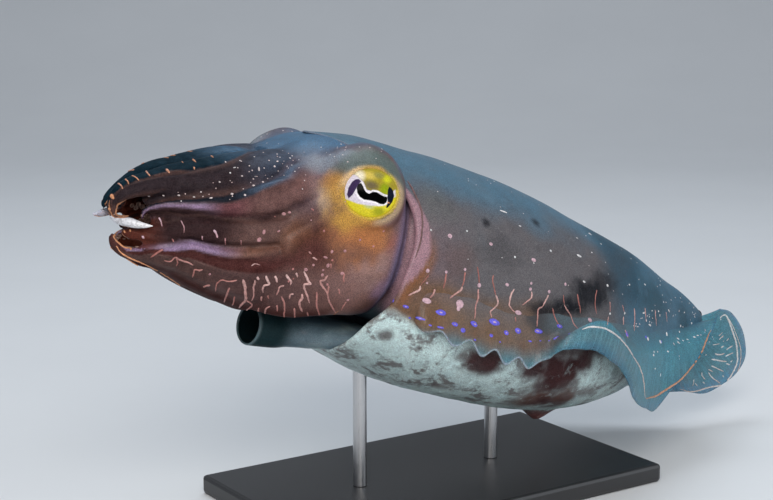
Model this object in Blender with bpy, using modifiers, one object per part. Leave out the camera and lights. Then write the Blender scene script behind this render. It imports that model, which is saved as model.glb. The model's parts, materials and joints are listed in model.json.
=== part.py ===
"""Broadclub cuttlefish, a life-size still model in a swimming pose on a plain display stand.

The animal is laid out in its own frame in millimetres: x runs from the arm tips (negative) to the tail,
y is across with the animal's left side negative, and z is up through the back. put() pitches that frame
head up and sets it over the stand, in metres.
"""
import math

import bmesh
import bpy
from mathutils import Matrix, Vector

PITCH = math.radians(15.2)
SHIFT_X = -0.030
LIFT = 0.1284

GAP = 0.3
COLLAR_GAP = 0.5
LIP = 0.945
CUP_END = -2.4
NECK_END = -2.8
MOUTH_PLANE = -84.0
ARM_START = -84.3
ARM_SPLIT = -124.0
TAIL_X = 227.0

EYE_AT = (-47.5, 41.5, 27.5)
EYE_AXIS = (-0.46, 0.885, 0.06)
EYE_RADII = (15.6, 13.8, 15.8)
OPENING = (13.2, 11.2, 11.0)
LID_WIDTH = 2.4
LID_RISE = 1.7
BULGE_AT = (-48.5, 35.0, 26.0)
BULGE_RADII = (23.2, 21.5, 24.6)
BUMP_AT = (119.0, 0.0, -65.0)
BUMP_RADII = (13.0, 10.0, 8.6)

# Suckers: radius near the head and at the tip, height and root depth as shares of the radius, and their sides.
SUCKER_BIG = 2.1
SUCKER_SMALL = 0.75
SUCKER_HEIGHT = 0.95
SUCKER_ROOT = 0.75
SUCKER_SIDES = 6
SUCKER_ROW = 0.34
BASE_SUCKERS = 8
TIP_SUCKERS = 7

FIN_ROOT = 2.2
FIN_MARGIN = 0.26

BASE_LENGTH = 0.210
BASE_WIDTH = 0.120
BASE_HEIGHT = 0.010
BASE_EDGE = 0.002
ROD_RADIUS = 0.0035
ROD_FRONT_X = 0.0
ROD_REAR_X = 88.0

# Mantle: station x, half-width, top, bottom and level of the widest line.
MANTLE = (
    (-64, 44, 50.3, -46, -8), (-35, 56, 53.3, -52, -13), (-14, 61, 52.9, -58, -18), (5, 63, 52.2, -63, -20),
    (38, 64.5, 49.5, -66.5, -22), (60, 64, 46.5, -68, -22), (83, 61.5, 42, -68.5, -21), (105, 57.5, 37, -67, -19),
    (126, 51.5, 32.8, -63.5, -17), (146, 44, 28.2, -57, -16), (164, 36, 22.8, -49, -15), (182, 27.5, 16.8, -38.5, -13),
    (198, 20, 11.6, -29, -10), (212, 13, 6.6, -19.5, -7), (222, 7, 1.6, -11, -5), (227, 0.1, -3.4, -4.6, -4),
)
# Front edge of the mantle: angle round the body in degrees, 90 at the middle of the back, and its x.
COLLAR = (
    (-90, -31), (-65, -36), (-45, -38), (-25, -37), (-10, -32), (0, -29), (12, -26), (22, -24.5),
    (35, -27), (45, -33), (55, -41), (65, -48), (77, -56), (90, -63),
)

# Head: station x, half-width, top, bottom at the midline, widest level and drop of the cheek's lower edge.
HEAD = (
    (-84, 41, 38.5, -36, -1, 4), (-76, 43, 41, -33, 1, 8), (-66, 45.5, 44, -31.5, 2, 9), (-55, 48, 46.8, -29, 3, 8.5),
    (-45, 50, 47.6, -26, 4, 6.5), (-36, 50.5, 47.8, -24, 5, 4), (-29, 49.5, 47, -22, 5, 1.5), (-25, 47, 46, -21, 5, 0),
    (-22.5, 46.5, 45.5, -24, 5, 0), (-19, 50, 45, -29, 4, 0), (-13, 53, 45, -33, 3, 0), (-2.8, 53.5, 45, -33.5, 3, 0),
)

# Arm bundle: station x, half-width, top, bottom and thickness of an arm from its outer face inwards.
BUNDLE = (
    (-84, 41, 39.5, -41.5, 20), (-95, 38.5, 37.0, -40.0, 18), (-107, 34.5, 33.0, -36.8, 15.5), (-116, 31, 29.5, -33.5, 13.5),
    (-124, 27.5, 26.0, -30.2, 11.5), (-132, 23.5, 21.0, -27.6, 9.5),
)
# Each arm's two edges as angles from the middle of the back in degrees, at the head and at the split.
ARM_EDGES = (
    ((1.0, 56.6), (1.0, 70.0)), ((57.4, 86.0), (71.0, 89.0)), ((86.4, 94.3), (89.5, 103.0)), ((94.9, 178.8), (103.9, 178.6)),
)

# Arm ends on the left: centre line in body millimetres from the split outwards, with the scale of the section there.
ARM_ENDS = (
    ((-132, -10.0, 14.5, 0.80), (-140, -9.8, 10.5, 0.60), (-147, -9.6, 4.5, 0.46), (-151, -10.0, -1.5, 0.36),
     (-151.5, -12.0, -6.0, 0.30), (-148.0, -16.0, -7.8, 0.23), (-143.0, -20.0, -7.8, 0.13), (-139.5, -22.5, -7.4, 0.05)),
    ((-130, -19.5, 4.0, 0.82), (-136, -17.0, 2.6, 0.62), (-141, -14.5, 0.6, 0.46), (-143.5, -13.0, -2.2, 0.34), (-143, -12.0, -5.2, 0.12)),
    ((-129, -19.5, -6.4, 0.86), (-134, -16.5, -7.8, 0.68), (-138, -12.5, -9.4, 0.48), (-139.5, -8.5, -10.8, 0.30), (-138.5, -5.5, -11.4, 0.12)),
    ((-131, -15.5, -20.6, 0.82), (-138, -13.5, -20.2, 0.62), (-144, -11.5, -20.8, 0.42), (-149.5, -10.5, -20.4, 0.28),
     (-152.5, -10.0, -17.6, 0.20), (-153.3, -10.0, -14.6, 0.13), (-152.3, -10.0, -12.4, 0.06)),
)
# On the right the first and fourth arms are drawn in and the second reaches forward. The third mirrors the left.
ARM_ENDS_RIGHT = {
    0: ((-132, -10.0, 14.5, 0.80), (-140, -9.8, 10.5, 0.60), (-147, -9.6, 4.5, 0.44), (-151, -9.4, -1.0, 0.30), (-151.8, -8.6, -4.8, 0.12)),
    1: ((-131, -18.5, 1.4, 0.80), (-139, -17.0, -2.0, 0.56), (-147, -15.0, -6.4, 0.34), (-152.5, -12.5, -9.0, 0.20), (-157, -10.5, -9.6, 0.08)),
    3: ((-130, -15.5, -20.0, 0.82), (-135.5, -13.5, -20.0, 0.62), (-140, -11.5, -20.6, 0.42), (-143.5, -10.5, -19.6, 0.26),
        (-145, -10.0, -17.0, 0.18), (-144.6, -10.0, -14.8, 0.09)),
}

# Funnel: station x, half-width, top and bottom.
FUNNEL = (
    (-14, 38, -36.0, -53.0), (-24, 37, -36.0, -51.0), (-32, 32, -36.0, -51.5), (-40, 22, -36.0, -53.0), (-47, 14, -36.0, -54.0),
    (-54, 11.3, -36.4, -55.2), (-62, 11.0, -36.0, -55.8), (-69.5, 11.2, -35.8, -56.0),
)
FUNNEL_BORE = ((-70.4, 0.86), (-65, 0.76), (-53, 0.66))

# Fins: x of the root, then the margin's x, y and z in the animal's frame. A ripple is added in front.
FIN_LEFT = (
    (-20, -20.5, -61.8, -20.5), (-12, -14, -66.5, -27), (6, 6, -69.5, -31.5), (26, 26, -70.5, -35), (45, 44, -71.5, -36.5), (56, 53, -75.5, -31),
    (66, 59, -80, -18.5), (77, 70, -82, -10.5), (89, 81, -81, -9), (101, 93, -78, -13.5), (113, 106, -71.5, -18.5), (125, 117, -67.5, -27),
    (135, 127, -63, -38), (145, 140, -56, -47.5), (154, 153, -50, -53), (163, 162, -46, -52.5), (173, 173, -44.5, -39.5),
    (185, 188, -38, -31), (197, 201, -32, -19.5), (208, 213, -25, -9), (218, 224, -16, 0.5), (222, 229, -12, 1.5),
)
FIN_RIGHT = (
    (-20, -20.5, 61.8, -20.5), (-12, -14, 66.5, -27), (6, 6, 70.5, -30), (26, 26, 73, -32), (45, 44, 76, -33), (62, 62, 80, -32),
    (80, 80, 82, -31), (98, 98, 82, -29), (114, 116, 79, -28), (130, 134, 73, -28), (144, 152, 65, -32), (157, 169, 56, -39),
    (170, 187, 45, -46), (182, 206, 31, -50.5), (192, 223, 18, -51), (200, 238, 9.5, -47.5), (206, 252, 7, -46.5), (211, 264, 6, -39.5),
    (215, 274, 6, -31), (218, 278, 6, -20), (220.5, 271, 6, -7), (222, 259, 6, 1), (222.6, 246, 6, 1),
)
RIPPLE_HEIGHT = 2.6
RIPPLE_LENGTH = 15.5
RIPPLE_PHASE = 1.0
RIPPLE_END = 58.0

MAIN = "broadclub_cuttlefish"


def put(x, y, z):
    """A point of the animal's own frame, in millimetres, as a place in the world in metres."""
    c = math.cos(PITCH)
    s = math.sin(PITCH)
    return Vector(((x * c + z * s) * 0.001 + SHIFT_X, y * 0.001, (z * c - x * s) * 0.001 + LIFT))


def sample(table, x, column):
    """A smooth value from one column of a table whose first column rises."""
    rows = sorted(table)
    if x <= rows[0][0]:
        return float(rows[0][column])
    if x >= rows[-1][0]:
        return float(rows[-1][column])
    i = 0
    while rows[i + 1][0] < x:
        i += 1
    a = rows[max(i - 1, 0)]
    b = rows[i]
    c = rows[i + 1]
    d = rows[min(i + 2, len(rows) - 1)]
    span = c[0] - b[0]
    t = (x - b[0]) / span
    slope_b = (c[column] - a[column]) / (c[0] - a[0]) * span
    slope_c = (d[column] - b[column]) / (d[0] - b[0]) * span
    t2 = t * t
    t3 = t2 * t
    return (
        (2 * t3 - 3 * t2 + 1) * b[column] + (t3 - 2 * t2 + t) * slope_b
        + (3 * t2 - 2 * t3) * c[column] + (t3 - t2) * slope_c
    )


def smooth_path(points, share):
    """A point along a list of points, by a Catmull-Rom curve, for a share from 0 to 1."""
    last = len(points) - 1
    place = min(max(share, 0.0), 1.0) * last
    i = min(int(place), last - 1)
    t = place - i
    b = Vector(points[i])
    c = Vector(points[i + 1])
    a = Vector(points[i - 1]) if i > 0 else b * 2 - c
    d = Vector(points[i + 2]) if i + 2 <= last else c * 2 - b
    return 0.5 * ((b * 2) + (c - a) * t + (a * 2 - b * 5 + c * 4 - d) * t * t + (b * 3 - a - c * 3 + d) * t * t * t)


def smooth_row(table, place):
    """A row of a table at a place between its rows, by a Catmull-Rom curve through each column."""
    last = len(table) - 1
    i = min(int(place), last - 1)
    t = place - i
    row = []
    for column in range(len(table[0])):
        b = table[i][column]
        c = table[i + 1][column]
        a = table[i - 1][column] if i > 0 else 2 * b - c
        d = table[i + 2][column] if i + 2 <= last else 2 * c - b
        row.append(0.5 * (2 * b + (c - a) * t + (2 * a - 5 * b + 4 * c - d) * t * t + (3 * b - a - 3 * c + d) * t * t * t))
    return row


def signed_power(value, power):
    return math.copysign(abs(value) ** power, value)


def material(name, colour, roughness, metallic=0.0):
    made = bpy.data.materials.new(name)
    made.use_nodes = True
    made.diffuse_color = (*colour, 1.0)
    shader = made.node_tree.nodes["Principled BSDF"]
    shader.inputs["Base Color"].default_value = (*colour, 1.0)
    shader.inputs["Roughness"].default_value = roughness
    shader.inputs["Metallic"].default_value = metallic
    return made


def new_object(name, bm, collection, look):
    """A closed bmesh as a named object."""
    bmesh.ops.remove_doubles(bm, verts=bm.verts, dist=0.00001)
    bmesh.ops.recalc_face_normals(bm, faces=bm.faces)
    mesh = bpy.data.meshes.new(name)
    bm.to_mesh(mesh)
    bm.free()
    mesh.shade_smooth()
    obj = bpy.data.objects.new(name, mesh)
    collection.objects.link(obj)
    if look:
        mesh.materials.append(look)
    return obj


def loft(name, rings, collection, look):
    """Skins a list of rings of points, all of one count, and closes both ends with a fan."""
    bm = bmesh.new()
    rows = [[bm.verts.new(p) for p in ring] for ring in rings]
    count = len(rows[0])
    for a, b in zip(rows, rows[1:]):
        for i in range(count):
            j = (i + 1) % count
            bm.faces.new((a[i], a[j], b[j], b[i]))
    for row in (rows[0], rows[-1]):
        middle = bm.verts.new(sum((v.co for v in row), Vector()) / count)
        for i in range(count):
            bm.faces.new((row[i], row[(i + 1) % count], middle))
    return new_object(name, bm, collection, look)


def keep_largest(obj):
    """Leaves only the largest closed surface of an object."""
    bm = bmesh.new()
    bm.from_mesh(obj.data)
    left = set(bm.verts)
    bodies = []
    while left:
        seed = left.pop()
        body = {seed}
        edge = [seed]
        while edge:
            v = edge.pop()
            for e in v.link_edges:
                o = e.other_vert(v)
                if o in left:
                    left.discard(o)
                    body.add(o)
                    edge.append(o)
        bodies.append(body)
    bodies.sort(key=lambda body: -max((v.co - w.co).length for v in list(body)[:1] for w in body) * len(body))
    for body in bodies[1:]:
        bmesh.ops.delete(bm, geom=list(body), context="VERTS")
    bm.to_mesh(obj.data)
    bm.free()


def boolean(obj, others, operation, solver="MANIFOLD"):
    """Joins or cuts an object with a list of closed mesh objects, which are then removed."""
    group = bpy.data.collections.new("joined")
    bpy.context.scene.collection.children.link(group)
    for other in others:
        for home in list(other.users_collection):
            home.objects.unlink(other)
        group.objects.link(other)
    change = obj.modifiers.new("join", "BOOLEAN")
    change.operation = operation
    change.solver = solver
    change.operand_type = "COLLECTION"
    change.collection = group
    bpy.context.view_layer.update()
    graph = bpy.context.evaluated_depsgraph_get()
    mesh = bpy.data.meshes.new_from_object(obj.evaluated_get(graph))
    obj.modifiers.remove(change)
    old = obj.data
    obj.data = mesh
    mesh.name = obj.name
    bpy.data.meshes.remove(old)
    for other in others:
        bpy.data.objects.remove(other)
    bpy.data.collections.remove(group)
    tidy(obj)
    keep_largest(obj)
    for slot in range(len(obj.data.materials) - 1, 0, -1):
        obj.data.materials.pop(index=slot)


def tidy(obj):
    """Welds near points and drops slivers that a cut leaves, as far as the surface stays closed."""
    for distance in (0.00002, 0.00001, 0.000004, 0.0000015):
        bm = bmesh.new()
        bm.from_mesh(obj.data)
        bmesh.ops.remove_doubles(bm, verts=bm.verts, dist=distance)
        bmesh.ops.dissolve_degenerate(bm, edges=bm.edges, dist=distance)
        bmesh.ops.triangulate(bm, faces=bm.faces)
        closed = all(len(e.link_faces) == 2 for e in bm.edges)
        closed = closed and all(v.is_manifold for v in bm.verts)
        if closed:
            bm.to_mesh(obj.data)
        bm.free()
        if closed:
            return


def eye_frame(side):
    """Centre and axes of one eye: outwards along its line of sight, across and up."""
    out = Vector((EYE_AXIS[0], side * EYE_AXIS[1], EYE_AXIS[2])).normalized()
    across = out.cross(Vector((0, 0, 1))).normalized()
    up = across.cross(out)
    return Vector((EYE_AT[0], side * EYE_AT[1], EYE_AT[2])), out, across, up


def eyeball(name, side, collection, look, grow=0.0):
    """The ball of one eye, a little wider than high."""
    centre, out, across, up = eye_frame(side)
    bm = bmesh.new()
    bmesh.ops.create_uvsphere(bm, u_segments=20, v_segments=12, radius=1.0)
    for v in bm.verts:
        p = centre + out * v.co.z * (EYE_RADII[2] + grow) + across * v.co.x * (EYE_RADII[0] + grow) + up * v.co.y * (EYE_RADII[1] + grow)
        v.co = put(*p)
    return new_object(name, bm, collection, look)


def eye_opening(side, collection):
    """A flared oval plug that opens the skin in front of one eye."""
    centre, out, across, up = eye_frame(side)
    bm = bmesh.new()
    bmesh.ops.create_cone(bm, cap_ends=True, segments=24, radius1=1.0, radius2=1.25, depth=2.0)
    for v in bm.verts:
        p = centre + out * (OPENING[2] + 7 * (v.co.z + 1)) + across * v.co.x * OPENING[0] + up * v.co.y * OPENING[1]
        v.co = put(*p)
    return new_object("opening", bm, collection, None)


def ellipsoid(name, at, radii, side, collection, look, segments=18, rings=10):
    """A ball scaled to three radii in the animal's frame, on the left (side -1) or right."""
    bm = bmesh.new()
    bmesh.ops.create_uvsphere(bm, u_segments=segments, v_segments=rings, radius=1.0)
    for v in bm.verts:
        x, y, z = v.co.z, v.co.x, v.co.y
        v.co = put(at[0] + x * radii[0], side * at[1] + y * radii[1], at[2] + z * radii[2])
    return new_object(name, bm, collection, look)


def mantle_point(x, angle, scale=1.0, grow=0.0):
    """A point on the mantle's section at x, for an angle in degrees, 90 at the middle of the back."""
    c = math.cos(math.radians(angle))
    s = math.sin(math.radians(angle))
    level = sample(MANTLE, x, 4)
    height = sample(MANTLE, x, 2) - level if s >= 0 else level - sample(MANTLE, x, 3)
    wide = sample(MANTLE, x, 1) * scale + grow
    power = 2 / 2.35
    return x, wide * signed_power(c, power), level + (height * scale + grow) * signed_power(s, power)


def mantle_shape(name, collection, look, grow=0.0, around=36, along=23):
    """The mantle with the cup behind its front edge that takes the neck and the funnel."""
    angles = [360.0 * i / around for i in range(around)]
    fronts = []
    for angle in angles:
        folded = angle if angle <= 90 else 180 - angle if angle <= 270 else angle - 360
        fronts.append(sample(COLLAR, folded, 1) - grow)
    rings = []
    for k in range(along + 1):
        t = (k / along) ** 0.92
        t = t + 0.035 * math.sin(math.pi * t)
        ring = []
        for angle, front in zip(angles, fronts):
            x = front + (TAIL_X - 0.2 + grow - front) * t
            rounding = -0.9 if k == 0 else 0.0
            ring.append(put(*mantle_point(x, angle, 1.0, grow + rounding)))
        rings.append(ring)
    inner = []
    for depth, scale in ((0.0, LIP), (0.35, LIP - 0.012), (0.70, LIP - 0.03), (1.0, LIP - 0.05)):
        ring = []
        for angle, front in zip(angles, fronts):
            x = front + (CUP_END + grow - front) * depth
            if depth == 0.0:
                x += 0.5
            ring.append(put(*mantle_point(x, angle, scale, -grow)))
        inner.append(ring)
    return loft(name, inner[::-1] + rings, collection, look)


def head_point(x, angle):
    """A point on the head's section at x, with the cheek's lower edge let down on both sides."""
    c = math.cos(math.radians(angle))
    s = math.sin(math.radians(angle))
    level = sample(HEAD, x, 4)
    height = sample(HEAD, x, 2) - level if s >= 0 else level - sample(HEAD, x, 3)
    power = 2 / 2.5 if s >= 0 else 2 / 3.0
    y = sample(HEAD, x, 1) * signed_power(c, power)
    z = level + height * signed_power(s, power)
    if s < 0:
        share = abs(y) / sample(HEAD, x, 1)
        z -= sample(HEAD, x, 5) * math.exp(-(((share - 0.74) / 0.27) ** 2)) * min(1.0, -s * 2.2)
    return x, y, z


def head_shape(collection, look, around=34):
    """The head with its eye bulges and lids, open to the arms in front and necked behind."""
    stations = (-84, -79, -73, -67, -61, -55, -49, -43, -37, -32, -28, -25.5, -23.5, -21.5, -18, -10, NECK_END)
    rings = []
    for x in stations:
        rings.append([put(*head_point(x, 360.0 * i / around)) for i in range(around)])
    head = loft("head", rings, collection, look)
    bulges = [ellipsoid("bulge", BULGE_AT, BULGE_RADII, side, collection, None) for side in (-1, 1)]
    lids = [lid_ring(side, collection) for side in (-1, 1)]
    boolean(head, bulges + lids, "UNION")
    return head


def on_bulge(point, out, side):
    """Slides a point along the eye's line of sight onto the eye bulge."""
    size = Vector(BULGE_RADII)
    start = point - Vector((BULGE_AT[0], side * BULGE_AT[1], BULGE_AT[2]))
    p = Vector((start[i] / size[i] for i in range(3)))
    d = Vector((out[i] / size[i] for i in range(3)))
    a = d.dot(d)
    b = 2 * p.dot(d)
    c = p.dot(p) - 1.0
    root = math.sqrt(max(b * b - 4 * a * c, 0.0))
    return point + out * ((-b + root) / (2 * a))


def lid_ring(side, collection, around=24, section=6):
    """A raised oval rim round one eye, lying on the eye bulge."""
    centre, out, across, up = eye_frame(side)
    bm = bmesh.new()
    rows = []
    for i in range(around):
        angle = 2 * math.pi * i / around
        c = math.cos(angle)
        s = math.sin(angle)
        row = []
        for j in range(section):
            turn = 2 * math.pi * j / section
            wide = LID_WIDTH * (1.0 + math.cos(turn))
            rise = LID_RISE * math.sin(turn)
            p = centre + across * c * (OPENING[0] - 0.4 + wide) + up * s * (OPENING[1] - 0.4 + wide)
            p = on_bulge(p, out, side) + out * (rise - 0.2)
            row.append(bm.verts.new(put(*p)))
        rows.append(row)
    for i in range(around):
        a = rows[i]
        b = rows[(i + 1) % around]
        for j in range(section):
            k = (j + 1) % section
            bm.faces.new((a[j], a[k], b[k], b[j]))
    return new_object("lid", bm, collection, None)


def bundle_point(x, angle, depth):
    """A point in the arm bundle: an angle from the middle of the back and a depth below its outer face."""
    wide = sample(BUNDLE, x, 1)
    top = sample(BUNDLE, x, 2)
    bottom = sample(BUNDLE, x, 3)
    level = (top + bottom) / 2
    high = (top - bottom) / 2
    s = math.sin(math.radians(angle))
    c = math.cos(math.radians(angle))
    power = 2 / 2.8 if c > 0 else 2 / 2.5
    y = wide * signed_power(s, power)
    z = high * signed_power(c, power)
    scale = 1.0 - depth / math.hypot(y, z)
    return x, -y * scale, level + z * scale


def arm_ring(x, edges, keel, count=12):
    """The section of one arm at x: a rounded block between two angles of the bundle, thin at a keel."""
    thick = sample(BUNDLE, x, 4)
    share = (x - ARM_START) / (ARM_SPLIT - ARM_START)
    edges = [a + (b - a) * share for a, b in zip(*edges)]
    middle = (edges[0] + edges[1]) / 2
    half = (edges[1] - edges[0]) / 2
    points = []
    for i in range(count):
        turn = 2 * math.pi * i / count
        across = signed_power(math.cos(turn), 0.5)
        deep = (1 - signed_power(math.sin(turn), 0.52)) / 2
        here = thick * (1.0 - keel * (across + 1) / 2)
        points.append(bundle_point(x, middle + half * across, 0.2 + deep * here))
    return points


ARM_STATIONS = (ARM_START, -92, -100, -108, -116, ARM_SPLIT)


def sucker(at, out, radius, turn, collection):
    """One shallow cup standing on the inner face of an arm, its root sunk into the flesh."""
    side = out.cross(Vector((1, 0, 0.2))).normalized()
    up = out.cross(side)
    bm = bmesh.new()
    foot = []
    rim = []
    for i in range(SUCKER_SIDES):
        angle = 2 * math.pi * (i / SUCKER_SIDES + turn)
        spoke = side * math.cos(angle) + up * math.sin(angle)
        foot.append(bm.verts.new(put(*(at - out * radius * SUCKER_ROOT + spoke * radius * 0.8))))
        rim.append(bm.verts.new(put(*(at + out * radius * SUCKER_HEIGHT + spoke * radius))))
    dish = bm.verts.new(put(*(at + out * radius * SUCKER_HEIGHT * 0.5)))
    bm.faces.new(foot)
    for i in range(SUCKER_SIDES):
        j = (i + 1) % SUCKER_SIDES
        bm.faces.new((foot[i], foot[j], rim[j], rim[i]))
        bm.faces.new((rim[i], rim[j], dish))
    return new_object("sucker", bm, collection, None)


def base_suckers(index, collection):
    """Two staggered rows of suckers along the inner face of an arm's first length."""
    keel = 0.55 if index == 3 else 0.0
    made = []
    for k in range(BASE_SUCKERS):
        share = 0.05 + 0.86 * k / (BASE_SUCKERS - 1)
        x = ARM_START + (ARM_SPLIT - ARM_START) * share
        low, high = (a + (b - a) * share for a, b in zip(*ARM_EDGES[index]))
        across = SUCKER_ROW if k % 2 else -SUCKER_ROW
        if index in (0, 3):
            across *= 0.5
        angle = (low + high) / 2 + (high - low) / 2 * across
        thick = sample(BUNDLE, x, 4) * (1.0 - keel * (across + 1) / 2)
        at = Vector(bundle_point(x, angle, thick))
        out = Vector(bundle_point(x, angle, thick + 2)) - at
        radius = SUCKER_BIG - 0.6 * share
        made.append(sucker(at, out.normalized(), radius, k * 0.1, collection))
    return made


def tip_suckers(index, ends, collection, steps=40):
    """Two staggered rows of suckers along the inner face of an arm's free end."""
    first, centre, frames = arm_frames(index, ends, steps)
    inner = first[len(first) * 3 // 4] - centre
    wide = (first[0] - first[len(first) // 2]) / 2
    made = []
    for k in range(TIP_SUCKERS):
        share = 0.12 + 0.72 * k / (TIP_SUCKERS - 1)
        place, turn, scale = frames[int(share * steps)]
        across = SUCKER_ROW * 0.8 * (1 if k % 2 else -1)
        if index in (0, 3):
            across *= 0.5
        at = place + turn @ (inner * scale * 0.97 + wide * scale * across)
        out = (turn @ inner).normalized()
        radius = min(SUCKER_BIG - 0.7 - (SUCKER_BIG - 0.7 - SUCKER_SMALL) * share, wide.length * scale * 0.55)
        made.append(sucker(at, out, radius, k * 0.1, collection))
    return made


def arm_base(name, index, collection, look, scraps):
    """The first length of a left arm, from the head to the split."""
    keel = 0.55 if index == 3 else 0.0
    rings = [[put(*p) for p in arm_ring(x, ARM_EDGES[index], keel)] for x in ARM_STATIONS]
    arm = loft(name, rings, collection, look)
    boolean(arm, base_suckers(index, scraps), "UNION")
    return arm


def arm_frames(index, ends, steps):
    """Frames along an arm's free end: its place, two axes across it and the scale of its section."""
    keel = 0.55 if index == 3 else 0.0
    first = [Vector(p) for p in arm_ring(ARM_SPLIT - GAP, ARM_EDGES[index], keel)]
    centre = sum(first, Vector()) / len(first)
    path = [(*centre, 1.0)] + list(ends)
    places = []
    for k in range(steps + 1):
        share = k / steps
        place = smooth_path([p[:3] for p in path], share)
        scale = smooth_path([(p[3], 0.0, 0.0) for p in path], share)[0]
        places.append((place, max(scale, 0.04)))
    frames = []
    turn = Matrix.Identity(3)
    before = Vector((-1, 0, 0))
    for k, (place, scale) in enumerate(places):
        ahead = places[min(k + 1, steps)][0] - places[max(k - 1, 0)][0]
        ahead.normalize()
        ahead = Vector((-1, 0, 0)).lerp(ahead, min(k / 4, 1.0)).normalized()
        turn = before.rotation_difference(ahead).to_matrix() @ turn
        before = ahead
        frames.append((place, turn.copy(), scale))
    return first, centre, frames


def arm_tip(name, index, collection, look, scraps, ends=None, steps=10):
    """The free end of a left arm, curling to its tip."""
    ends = ends or ARM_ENDS[index]
    first, centre, frames = arm_frames(index, ends, steps)
    rings = []
    for place, turn, scale in frames:
        rings.append([put(*(place + turn @ ((p - centre) * scale))) for p in first])
    arm = loft(name, rings, collection, look)
    boolean(arm, tip_suckers(index, ends, scraps), "UNION")
    return arm


def mirrored(obj, name):
    """A copy of a left-hand piece on the right."""
    mesh = obj.data.copy()
    mesh.name = name
    bm = bmesh.new()
    bm.from_mesh(mesh)
    bmesh.ops.scale(bm, vec=(1, -1, 1), verts=bm.verts)
    bmesh.ops.reverse_faces(bm, faces=bm.faces)
    bm.to_mesh(mesh)
    bm.free()
    copy = bpy.data.objects.new(name, mesh)
    obj.users_collection[0].objects.link(copy)
    return copy


def funnel_ring(x, scale=1.0, grow=0.0, around=18, at=None):
    wide = sample(FUNNEL, x, 1) * scale + grow
    top = sample(FUNNEL, x, 2)
    bottom = sample(FUNNEL, x, 3)
    level = (top + bottom) / 2
    high = (top - bottom) / 2 * scale + grow
    ring = []
    for i in range(around):
        angle = 2 * math.pi * i / around
        ring.append(put(x if at is None else at, wide * math.cos(angle), level + high * math.sin(angle)))
    return ring


def funnel_shape(name, collection, look, grow=0.0, hollow=True):
    """The funnel, flat and wide at its root, with an open mouth in front."""
    rings = [funnel_ring(x, 1.0, grow) for x in (-14 + grow, -21, -28, -35, -41, -47, -54, -62, -69.5)]
    rings.append(funnel_ring(-69.5, 0.93, grow, at=-70.6 - grow))
    if hollow:
        for x, scale in FUNNEL_BORE:
            rings.append(funnel_ring(max(x, -69.5), scale, grow, at=x))
    return loft(name, rings, collection, look)


def fin_shape(name, table, side, collection, look, along=49, across=4):
    """A thin rippled fin from the mantle's widest line out to its margin."""
    bm = bmesh.new()
    grid = []
    last = len(table) - 1
    for i in range(along + 1):
        root_x, margin_x, margin_y, margin_z = smooth_row(table, last * i / along)
        x, y, z = mantle_point(root_x, 0.0, 1.0, -0.9)
        fade = min(max((root_x + 20.0) / 14.0, 0.0), 1.0) * min(max((RIPPLE_END - root_x) / 12.0, 0.0), 1.0)
        margin_z -= fade * RIPPLE_HEIGHT * math.cos(2 * math.pi * (root_x - RIPPLE_PHASE) / RIPPLE_LENGTH)
        root = Vector((x, y, z))
        margin = Vector((margin_x, abs(margin_y), margin_z))
        row = []
        for j in range(across + 1):
            t = j / across
            p = root.lerp(margin, t)
            level = margin.z - root.z
            p.z -= level * t * (1 - t) * 0.55
            p.y += abs(level) * t * (1 - t) * 0.30
            row.append(bm.verts.new(put(p.x, side * p.y, p.z)))
        grid.append(row)
    for i in range(along):
        for j in range(across):
            a = grid[i][j]
            b = grid[i + 1][j]
            c = grid[i + 1][j + 1]
            d = grid[i][j + 1]
            bm.faces.new((a, b, c))
            bm.faces.new((a, c, d))
    bmesh.ops.recalc_face_normals(bm, faces=bm.faces)
    bm.verts.index_update()
    weights = [1.0 - 0.92 * (n % (across + 1)) / across for n in range(len(bm.verts))]
    mesh = bpy.data.meshes.new(name)
    bm.to_mesh(mesh)
    bm.free()
    mesh.shade_smooth()
    mesh.materials.append(look)
    obj = bpy.data.objects.new(name, mesh)
    collection.objects.link(obj)
    group = obj.vertex_groups.new(name="thick")
    for n, weight in enumerate(weights):
        group.add([n], weight, "REPLACE")
    shell = obj.modifiers.new("thickness", "SOLIDIFY")
    shell.thickness = FIN_ROOT * 0.001
    shell.offset = 0.0
    shell.vertex_group = "thick"
    shell.thickness_vertex_group = FIN_MARGIN
    bpy.context.view_layer.update()
    graph = bpy.context.evaluated_depsgraph_get()
    solid = bpy.data.meshes.new_from_object(obj.evaluated_get(graph))
    obj.modifiers.clear()
    obj.data = solid
    boolean(obj, [mantle_shape("flank", collection, None, GAP)], "DIFFERENCE")
    return obj


def stand_base(collection, look):
    bpy.ops.mesh.primitive_cube_add(size=1.0, location=(0, 0, BASE_HEIGHT / 2))
    obj = bpy.context.object
    obj.name = "stand_base"
    obj.data.name = "stand_base"
    obj.scale = (BASE_LENGTH, BASE_WIDTH, BASE_HEIGHT)
    bpy.ops.object.transform_apply(location=False, rotation=False, scale=True)
    for home in list(obj.users_collection):
        home.objects.unlink(obj)
    collection.objects.link(obj)
    obj.data.materials.append(look)
    edges = obj.modifiers.new("edges", "BEVEL")
    edges.width = BASE_EDGE
    edges.segments = 2
    edges.limit_method = "ANGLE"
    return obj


def stand_rod(name, x_body, collection, look, scraps):
    """A rod from the base up to the belly, its top cut to the belly's curve."""
    under = put(x_body, 0, sample(MANTLE, x_body, 3))
    bottom = BASE_HEIGHT + GAP * 0.001
    top = under.z + 0.012
    bpy.ops.mesh.primitive_cylinder_add(vertices=20, radius=ROD_RADIUS, depth=top - bottom, location=(under.x, 0, (top + bottom) / 2))
    obj = bpy.context.object
    obj.name = name
    obj.data.name = name
    bpy.ops.object.transform_apply(location=True, rotation=False, scale=True)
    for home in list(obj.users_collection):
        home.objects.unlink(obj)
    collection.objects.link(obj)
    obj.data.materials.append(look)
    boolean(obj, [mantle_shape("belly", scraps, None, GAP)], "DIFFERENCE")
    return obj


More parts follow.
